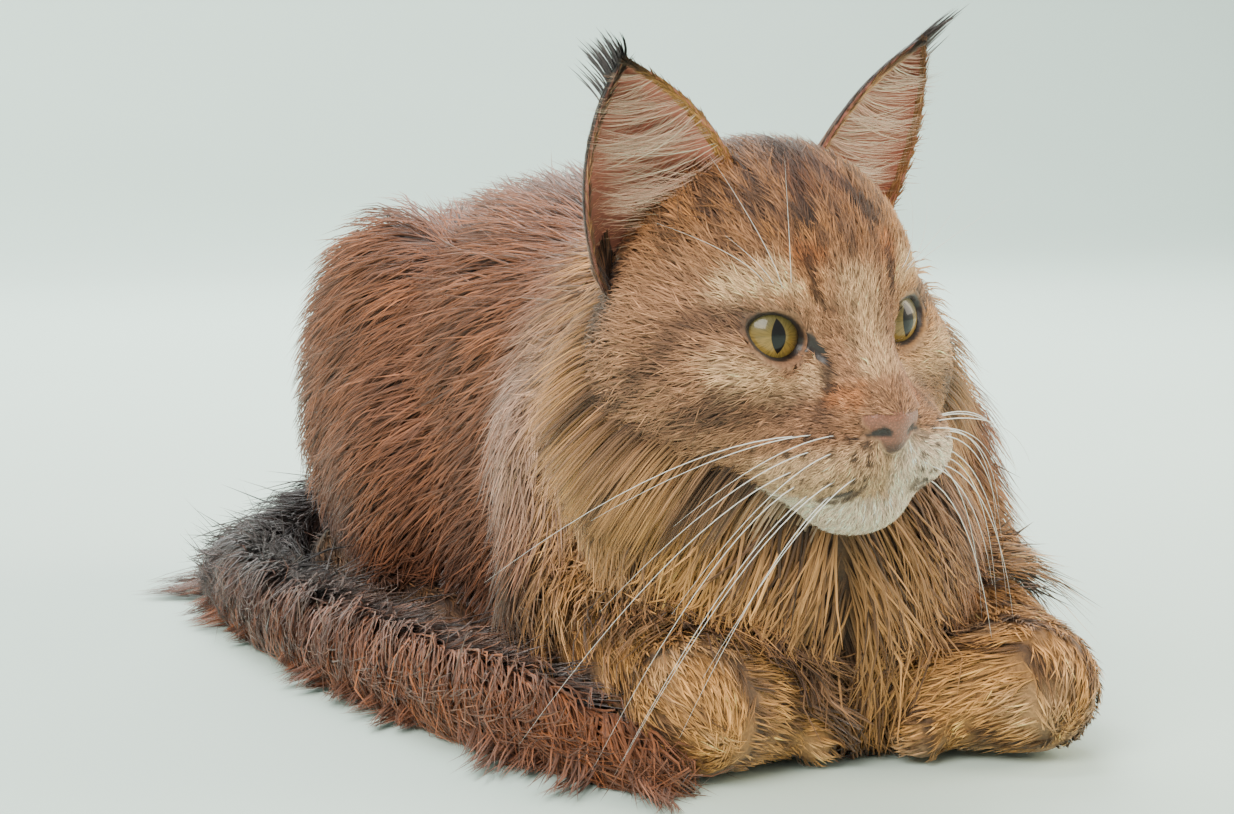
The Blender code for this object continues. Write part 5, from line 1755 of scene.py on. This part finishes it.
class CAT_OT_ear_hair(bpy.types.Operator):
    """Grow the down, the inner hair and the dark fans of both ears"""
    bl_idname = "cat.ear_hair"
    bl_label = "Ear hair"

    def execute(self, context):
        draw = np.random.default_rng(SEED + 4)
        finish = fur_material("ear_coat", 0.6, 0.2)
        for side, word in ((1, "left"), (-1, "right")):
            for part, name in ((self.back, "back_fur"), (self.lining, "lining"), (self.inner, "inner_fur"),
                               (self.edge, "edge_fur"), (self.fan, "fan"), (self.foot, "foot_fur")):
                across, rise, path, up, width, outer, under = part(side, draw)
                outer, under, tones = lively(outer, under, draw)
                patches = ear_patches(across, rise, side)
                full = f"ear_{name}_{word}"
                widths = np.full(len(path), width * thicken())
                mesh = tuft_mesh(full, path, up, widths, outer, under, tones, patches)
                mesh.materials.append(finish)
                piece = link(mesh, full)
                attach(piece, "root")
        return {"FINISHED"}

    def back(self, side, draw):
        """Short dark hair on the back of the ear."""
        count = amount(EAR_BACK_TUFTS)
        across = draw.uniform(-1.0, 1.0, count)
        rise = 0.97 * (1.0 - np.sqrt(draw.random(count)))
        place, behind, tipwards = ear_frame(across, rise, side)
        lengths = draw.uniform(0.0045, 0.008, count) * (1.3 - 0.5 * rise)
        roots = place + behind * EAR_THICKNESS * 0.4
        path, up = straight_paths(roots, unit(tipwards + behind * 0.10), behind, lengths, 2, -behind * 0.05)
        dark = mix(rows(colour("umber"), count), colour("black"), 0.55 + 0.5 * smooth(rise, 0.4, 0.9))
        outer = mix(dark, colour("beige"), 0.55 * smooth(0.35 - rise, 0.0, 0.3))
        return across, rise, path, up, 0.00055, outer, outer * 0.7

    def lining(self, side, draw):
        """Short pale down that lets the pink of the cup show through."""
        count = amount(EAR_LINING_TUFTS)
        across = draw.uniform(-0.97, 0.97, count)
        rise = 0.96 * (1.0 - np.sqrt(draw.random(count)))
        place, behind, tipwards = ear_frame(across, rise, side)
        outwards = unit(ear_point(across + 0.03, rise, side) - place)
        heading = unit(outwards + tipwards * draw.uniform(0.2, 1.0, count)[:, None] - behind * 0.22)
        lengths = draw.uniform(0.005, 0.011, count) * (1.1 - 0.5 * rise)
        roots = place - behind * EAR_THICKNESS * 0.4
        path, up = straight_paths(roots, heading, -behind, lengths, 3, behind * 0.18)
        outer = mix(rows(colour("ear_pink"), count), colour("pale"), draw.random(count) * 0.6)
        return across, rise, path, up, 0.00020, outer, outer * 0.95

    def inner(self, side, draw):
        """Long cream hair that sweeps in arcs across the cup from its inner edge."""
        count = amount(EAR_INNER_TUFTS)
        across = np.clip(draw.normal(-0.70, 0.24, count), -0.99, 0.4)
        rise = np.clip(draw.beta(1.1, 1.7, count), 0.0, 0.85)
        place, behind, tipwards = ear_frame(across, rise, side)
        outwards = unit(ear_point(np.full(count, 0.95), np.clip(rise + 0.05, 0, 1), side) - place)
        heading = unit(outwards + tipwards * (0.10 + 0.30 * np.sin(rise * 23.0))[:, None] - behind * 0.30)
        heading = unit(heading + tipwards * draw.normal(0.0, 0.10, count)[:, None])
        span = np.linalg.norm(ear_point(np.full(count, 1.0), rise, side) - place, axis=1)
        lengths = np.minimum(draw.uniform(0.55, 1.02, count) * span, 0.036)
        roots = place - behind * EAR_THICKNESS * 0.4
        path, up = straight_paths(roots, heading, -behind, lengths, 4, tipwards * 0.30 + behind * 0.12)
        outer = mix(rows(colour("cream"), count), colour("ear_pink"), 0.15 + draw.random(count) * 0.5)
        return across, rise, path, up, 0.00021, outer, outer * 0.9

    def edge(self, side, draw):
        """Golden hair over the rim of the ear, dark near its tip."""
        count = amount(EAR_EDGE_TUFTS)
        across = np.where(draw.random(count) < 0.55, -1.0, 1.0) * draw.uniform(0.92, 1.0, count)
        rise = draw.uniform(0.0, 0.97, count)
        place, behind, tipwards = ear_frame(across, rise, side)
        rim = unit(ear_point(across, rise, side) - ear_point(across * 0.8, rise, side))
        heading = tipwards + rim * draw.uniform(0.0, 0.45, count)[:, None]
        heading = unit(heading - behind * draw.uniform(-0.3, 0.35, count)[:, None])
        lengths = draw.uniform(0.003, 0.0065, count)
        roots = place - behind * EAR_THICKNESS * 0.5
        path, up = straight_paths(roots, heading, -behind, lengths, 3, -rim * 0.1)
        outer = mix(rows(colour("golden"), count), colour("black"), smooth(rise, 0.62, 0.95) * 0.9)
        outer = mix(outer, colour("beige"), (across > 0) * 0.7)
        return across, rise, path, up, 0.00042, outer, outer * 0.7

    def foot(self, side, draw):
        """Dark hair that covers the outer foot of the ear."""
        count = amount(EAR_FOOT_TUFTS)
        across = draw.uniform(0.45, 1.0, count)
        rise = draw.uniform(0.0, 0.13, count)
        place, behind, tipwards = ear_frame(across, rise, side)
        outwards = unit(ear_point(across, rise, side) - ear_point(across - 0.1, rise, side))
        heading = unit(outwards * 0.5 - behind * 0.4 - tipwards * draw.uniform(0.3, 1.2, count)[:, None])
        lengths = draw.uniform(0.007, 0.014, count)
        down = rows((0.0, 0.15, -0.30), count)
        path, up = straight_paths(place - behind * EAR_THICKNESS * 0.4, heading, -behind, lengths, 3, down)
        outer = mix(rows(colour("black"), count), colour("beige"), draw.random(count) ** 2 * 0.9)
        return across, rise, path, up, 0.00045, outer, outer * 0.6

    def fan(self, side, draw):
        """The dark tuft at the tip of the ear."""
        count = amount(EAR_FAN_TUFTS)
        lean = draw.uniform(-0.5, 0.5, count)
        across = lean * 1.2
        rise = np.clip(draw.normal(0.86, 0.07, count), 0.65, 0.97)
        place, behind, tipwards = ear_frame(across, rise, side)
        turn = np.array(head_matrix())[:3, :3]
        heading = unit(tipwards + (turn @ np.array((side, 0.2, 0.0))) * (0.25 + lean)[:, None])
        lengths = draw.uniform(0.008, 0.020, count)
        bend = rows(turn @ np.array((side * 0.2, 0.1, 0.0)), count)
        path, up = straight_paths(place, heading, behind, lengths, 4, bend)
        outer = mix(rows(colour("black"), count), colour("umber"), draw.random(count) * 0.6)
        return across, rise, path, up, 0.00045, outer, outer * 0.8


# Whiskers and brow hairs: curves thickened by Geometry Nodes

def tube_tree():
    """Geometry Nodes that turn curves into tapered hairs of a given thickness."""
    tree = bpy.data.node_groups.new("tapered hairs", "GeometryNodeTree")
    tree.interface.new_socket("Geometry", in_out="INPUT", socket_type="NodeSocketGeometry")
    tree.interface.new_socket("Thickness", in_out="INPUT", socket_type="NodeSocketFloat")
    tree.interface.new_socket("Sides", in_out="INPUT", socket_type="NodeSocketInt")
    tree.interface.new_socket("Finish", in_out="INPUT", socket_type="NodeSocketMaterial")
    tree.interface.new_socket("Geometry", in_out="OUTPUT", socket_type="NodeSocketGeometry")
    given = tree.nodes.new("NodeGroupInput")
    result = tree.nodes.new("NodeGroupOutput")
    profile = tree.nodes.new("GeometryNodeCurvePrimitiveCircle")
    half = add_node(tree, "ShaderNodeMath", operation="MULTIPLY")
    half.inputs[1].default_value = 0.5
    sweep = tree.nodes.new("GeometryNodeCurveToMesh")
    smooth_shade = tree.nodes.new("GeometryNodeSetShadeSmooth")
    realize = tree.nodes.new("GeometryNodeRealizeInstances")
    finish = tree.nodes.new("GeometryNodeSetMaterial")
    sweep.inputs["Fill Caps"].default_value = True
    if "Scale" in sweep.inputs:
        tree.links.new(tree.nodes.new("GeometryNodeInputRadius").outputs[0], sweep.inputs["Scale"])
    tree.links.new(given.outputs["Thickness"], half.inputs[0])
    tree.links.new(half.outputs[0], profile.inputs["Radius"])
    tree.links.new(given.outputs["Sides"], profile.inputs["Resolution"])
    tree.links.new(given.outputs["Geometry"], sweep.inputs["Curve"])
    tree.links.new(profile.outputs[0], sweep.inputs["Profile Curve"])
    tree.links.new(sweep.outputs[0], smooth_shade.inputs[0])
    tree.links.new(smooth_shade.outputs[0], realize.inputs[0])
    tree.links.new(realize.outputs[0], finish.inputs["Geometry"])
    tree.links.new(given.outputs["Finish"], finish.inputs["Material"])
    tree.links.new(finish.outputs[0], result.inputs[0])
    return tree


HAIR_POINTS = 14
HAIR_SIDES = 5


def hair_piece(name, hairs, thickness, finish, tree):
    """One mesh of tapered hairs, from roots, bends and tips."""
    curve = bpy.data.curves.new(name, "CURVE")
    curve.dimensions = "3D"
    for root, bend, tip in hairs:
        spline = curve.splines.new("POLY")
        spline.points.add(HAIR_POINTS - 1)
        for index, point in enumerate(spline.points):
            t = index / (HAIR_POINTS - 1)
            place = root * (1 - t) ** 2 + bend * 2 * t * (1 - t) + tip * t * t
            point.co = (*place, 1.0)
            point.radius = 1.0 - 0.88 * t ** 1.2
    guide = bpy.data.objects.new(name, curve)
    bpy.context.scene.collection.objects.link(guide)
    modifier = guide.modifiers.new("hairs", "NODES")
    modifier.node_group = tree
    sockets = {item.name: item.identifier for item in tree.interface.items_tree if item.in_out == "INPUT"}
    modifier[sockets["Thickness"]] = thickness
    modifier[sockets["Sides"]] = HAIR_SIDES
    modifier[sockets["Finish"]] = finish
    graph = bpy.context.evaluated_depsgraph_get()
    mesh = bpy.data.meshes.new_from_object(guide.evaluated_get(graph))
    bpy.data.objects.remove(guide)
    mesh.name = name
    if not mesh.materials:
        mesh.materials.append(finish)
    turn_outwards(mesh)
    piece = link(mesh, name)
    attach(piece, "root")


WHISKER_CLEARANCE = 0.006
WHISKER_THICKNESS = 0.00038
BROW_HAIR_THICKNESS = 0.00024
MISSING_WHISKERS = 0.22


def hair_places(root, start, end):
    """Root, bend and tip of a hair in the cat's frame, from millimetres in the head's frame."""
    return [from_head((root + offset)[None, :] * MM)[0] for offset in (0 * start, start, end)]


def clear_of_floor(places):
    """A whisker's root, bend and tip, shortened where it would pass the floor."""
    share = min(1.0, (places[0][2] - WHISKER_CLEARANCE) / max(places[0][2] - places[2][2], 1e-6))
    return [places[0] + (place - places[0]) * share for place in places]


class CAT_OT_whiskers(bpy.types.Operator):
    """Set the whiskers of both pads and the long hairs of the brows"""
    bl_idname = "cat.whiskers"
    bl_label = "Whiskers"

    def execute(self, context):
        draw = np.random.default_rng(SEED + 5)
        tree = tube_tree()
        white = plain_material("whisker", (0.86, 0.83, 0.78), 0.35, 400.0)
        for side, word in ((1, "left"), (-1, "right")):
            mirror = np.array((side, 1.0, 1.0))
            hairs = []
            for row in range(WHISKER_ROWS):
                for column in range(1 + row % 2, WHISKER_COLUMNS):
                    if draw.random() < MISSING_WHISKERS:
                        continue
                    root = whisker_root(row, column) * mirror
                    length = draw.uniform(62, 108) * (0.72 + 0.28 * column / WHISKER_COLUMNS)
                    drop = 0.42 + 0.30 * row + draw.uniform(-0.12, 0.12)
                    start = np.array((side * 0.80, -0.12 + 0.10 * column, -0.15 * row)) * length * 0.45
                    end = np.array((side * 0.74, 0.22 + 0.09 * column, -drop)) * length
                    hairs.append(clear_of_floor(hair_places(root, start, end)))
            hair_piece(f"whiskers_{word}", hairs, WHISKER_THICKNESS, white, tree)
            hairs = []
            for index in range(BROW_HAIRS):
                brow = np.array((20.0 + 2.0 * index, -37.0 + 1.6 * index, 20.0 + draw.uniform(-2, 2)))
                root = on_face(brow * mirror)
                length = draw.uniform(26, 58)
                start = np.array((side * (0.25 + 0.1 * index), -0.35, 0.50)) * length * 0.5
                end = np.array((side * (0.10 + 0.26 * index), draw.uniform(-0.2, 0.25), 0.85 - 0.12 * index))
                hairs.append(hair_places(root, start, end * length))
            hair_piece(f"brow_hairs_{word}", hairs, BROW_HAIR_THICKNESS, white, tree)
        return {"FINISHED"}


# Floor, light and camera

CAMERA_PLACE = (-0.438, -0.969, 0.2205)
CAMERA_TURN = (math.radians(83.2), 0.0, math.radians(-23.5))
CAMERA_LENS = 85.0
SENSOR_WIDTH = 36.0
CAT_MIDDLE = (0.0, 0.0, 0.08)
# Name, place, place aimed at, size and tint of each light; its power is in the settings
LIGHTS = (
    ("key", (-1.3, -1.1, 1.5), CAT_MIDDLE, 1.3, (1.0, 0.95, 0.88)),
    ("fill", (1.5, -0.5, 0.9), CAT_MIDDLE, 1.2, (1.0, 0.88, 0.70)),
    ("rim", (0.5, 1.5, 1.3), CAT_MIDDLE, 1.0, (1.0, 1.0, 1.0)),
    ("wall", (0.0, 1.2, 3.2), (1.2, 3.6, 0.9), 2.0, (1.0, 1.0, 1.0)),
)
WORLD_COLOUR = (0.80, 0.80, 0.76)
WORLD_STRENGTH = 0.85


class StageSettings(bpy.types.PropertyGroup):
    """Floor and light round the cat"""
    floor_colour: bpy.props.FloatVectorProperty(
        name="Floor", description="Colour of the floor and backdrop", subtype="COLOR", size=3,
        min=0.0, max=1.0, default=screen(204, 226, 216))
    key_power: bpy.props.FloatProperty(
        name="Key light", description="Power of the large soft light", default=60.0, min=0.0, unit="POWER")
    fill_power: bpy.props.FloatProperty(
        name="Fill light", description="Power of the light from the right", default=34.0, min=0.0,
        unit="POWER")
    rim_power: bpy.props.FloatProperty(
        name="Rim light", description="Power of the light from behind", default=30.0, min=0.0, unit="POWER")
    wall_power: bpy.props.FloatProperty(
        name="Wall light", description="Power of the light on the backdrop", default=190.0, min=0.0,
        unit="POWER")


BACKDROP_WIDTH = 9.0
BACKDROP_FRONT = -6.0
BACKDROP_BACK = 2.0
BACKDROP_HEIGHT = 6.0
BACKDROP_BEND = 1.6
BEND_STEPS = 12


def backdrop_profile():
    """Distance and height along a floor that bends up into a wall behind the cat."""
    profile = [(BACKDROP_FRONT, 0.0), (BACKDROP_BACK, 0.0)]
    for step in range(1, BEND_STEPS + 1):
        angle = math.pi / 2 * step / BEND_STEPS
        distance = BACKDROP_BACK + BACKDROP_BEND * math.sin(angle)
        profile.append((distance, BACKDROP_BEND * (1.0 - math.cos(angle))))
    return profile + [(BACKDROP_BACK + BACKDROP_BEND, BACKDROP_HEIGHT)]


def area_light(name, place, target, size, tint, power):
    lamp = bpy.data.lights.new(name, "AREA")
    lamp.shape = "RECTANGLE"
    lamp.size = size
    lamp.size_y = size
    lamp.energy = power
    lamp.color = tint
    thing = bpy.data.objects.new(name, lamp)
    thing.location = place
    thing.rotation_euler = (Vector(target) - Vector(place)).to_track_quat("-Z", "Y").to_euler()
    bpy.context.scene.collection.objects.link(thing)


class CAT_OT_stage(bpy.types.Operator):
    """Lay the floor, set the soft lights and aim the camera"""
    bl_idname = "cat.stage"
    bl_label = "Stage"

    def execute(self, context):
        settings = context.scene.cat_stage
        mesh = bpy.data.meshes.new("floor")
        corners = []
        for distance, height in backdrop_profile():
            corners += [(-BACKDROP_WIDTH, distance, height), (BACKDROP_WIDTH, distance, height)]
        faces = [(first, first + 1, first + 3, first + 2) for first in range(0, len(corners) - 2, 2)]
        mesh.from_pydata(corners, [], faces)
        mesh.polygons.foreach_set("use_smooth", [True] * len(faces))
        mesh.materials.append(plain_material("floor", tuple(settings.floor_colour), 0.7, 2.0))
        link(mesh, "floor")
        powers = (settings.key_power, settings.fill_power, settings.rim_power, settings.wall_power)
        for light, power in zip(LIGHTS, powers):
            area_light(*light, power)
        world = bpy.data.worlds.new("studio")
        world.use_nodes = True
        background = world.node_tree.nodes["Background"]
        background.inputs["Color"].default_value = (*WORLD_COLOUR, 1.0)
        background.inputs["Strength"].default_value = WORLD_STRENGTH
        context.scene.world = world
        lens = bpy.data.cameras.new("camera")
        lens.lens = CAMERA_LENS
        lens.sensor_width = SENSOR_WIDTH
        camera = bpy.data.objects.new("camera", lens)
        camera.location = CAMERA_PLACE
        camera.rotation_euler = CAMERA_TURN
        context.scene.collection.objects.link(camera)
        context.scene.camera = camera
        return {"FINISHED"}


class CAT_PT_panel(bpy.types.Panel):
    """Lists the steps of the cat in the 3D view's sidebar"""
    bl_idname = "CAT_PT_panel"
    bl_label = "Maine Coon cat"
    bl_space_type = "VIEW_3D"
    bl_region_type = "UI"
    bl_category = "Cat"

    def draw(self, context):
        for name, _operator in STEPS:
            self.layout.operator(name)
        for group in (context.scene.coat_sizes, context.scene.cat_colours, context.scene.cat_stage):
            box = self.layout.box()
            for item in group.bl_rna.properties:
                if item.identifier not in ("rna_type", "name"):
                    box.prop(group, item.identifier)


STEPS = (
    ("cat.skin", CAT_OT_skin), ("cat.eyes", CAT_OT_eyes), ("cat.head_coat", CAT_OT_head_coat),
    ("cat.body_coat", CAT_OT_body_coat), ("cat.leg_coat", CAT_OT_leg_coat),
    ("cat.tail_coat", CAT_OT_tail_coat), ("cat.ear_hair", CAT_OT_ear_hair),
    ("cat.whiskers", CAT_OT_whiskers), ("cat.stage", CAT_OT_stage),
)
GROUPS = (("cat_colours", CatColours), ("coat_sizes", CoatSizes), ("cat_stage", StageSettings))


def register():
    for name, group in GROUPS:
        bpy.utils.register_class(group)
        setattr(bpy.types.Scene, name, bpy.props.PointerProperty(type=group))
    for _name, operator in STEPS:
        bpy.utils.register_class(operator)
    bpy.utils.register_class(CAT_PT_panel)


def unregister():
    bpy.utils.unregister_class(CAT_PT_panel)
    for _name, operator in reversed(STEPS):
        bpy.utils.unregister_class(operator)
    for name, group in reversed(GROUPS):
        delattr(bpy.types.Scene, name)
        bpy.utils.unregister_class(group)


def main():
    """Build the cat on its stage."""
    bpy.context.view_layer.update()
    register()
    strand_group()
    bpy.ops.cat.skin()
    bpy.ops.cat.eyes()
    bpy.ops.cat.head_coat()
    bpy.ops.cat.body_coat()
    bpy.ops.cat.leg_coat()
    bpy.ops.cat.tail_coat()
    bpy.ops.cat.ear_hair()
    bpy.ops.cat.whiskers()
    bpy.ops.cat.stage()


if __name__ == "__main__":
    main()
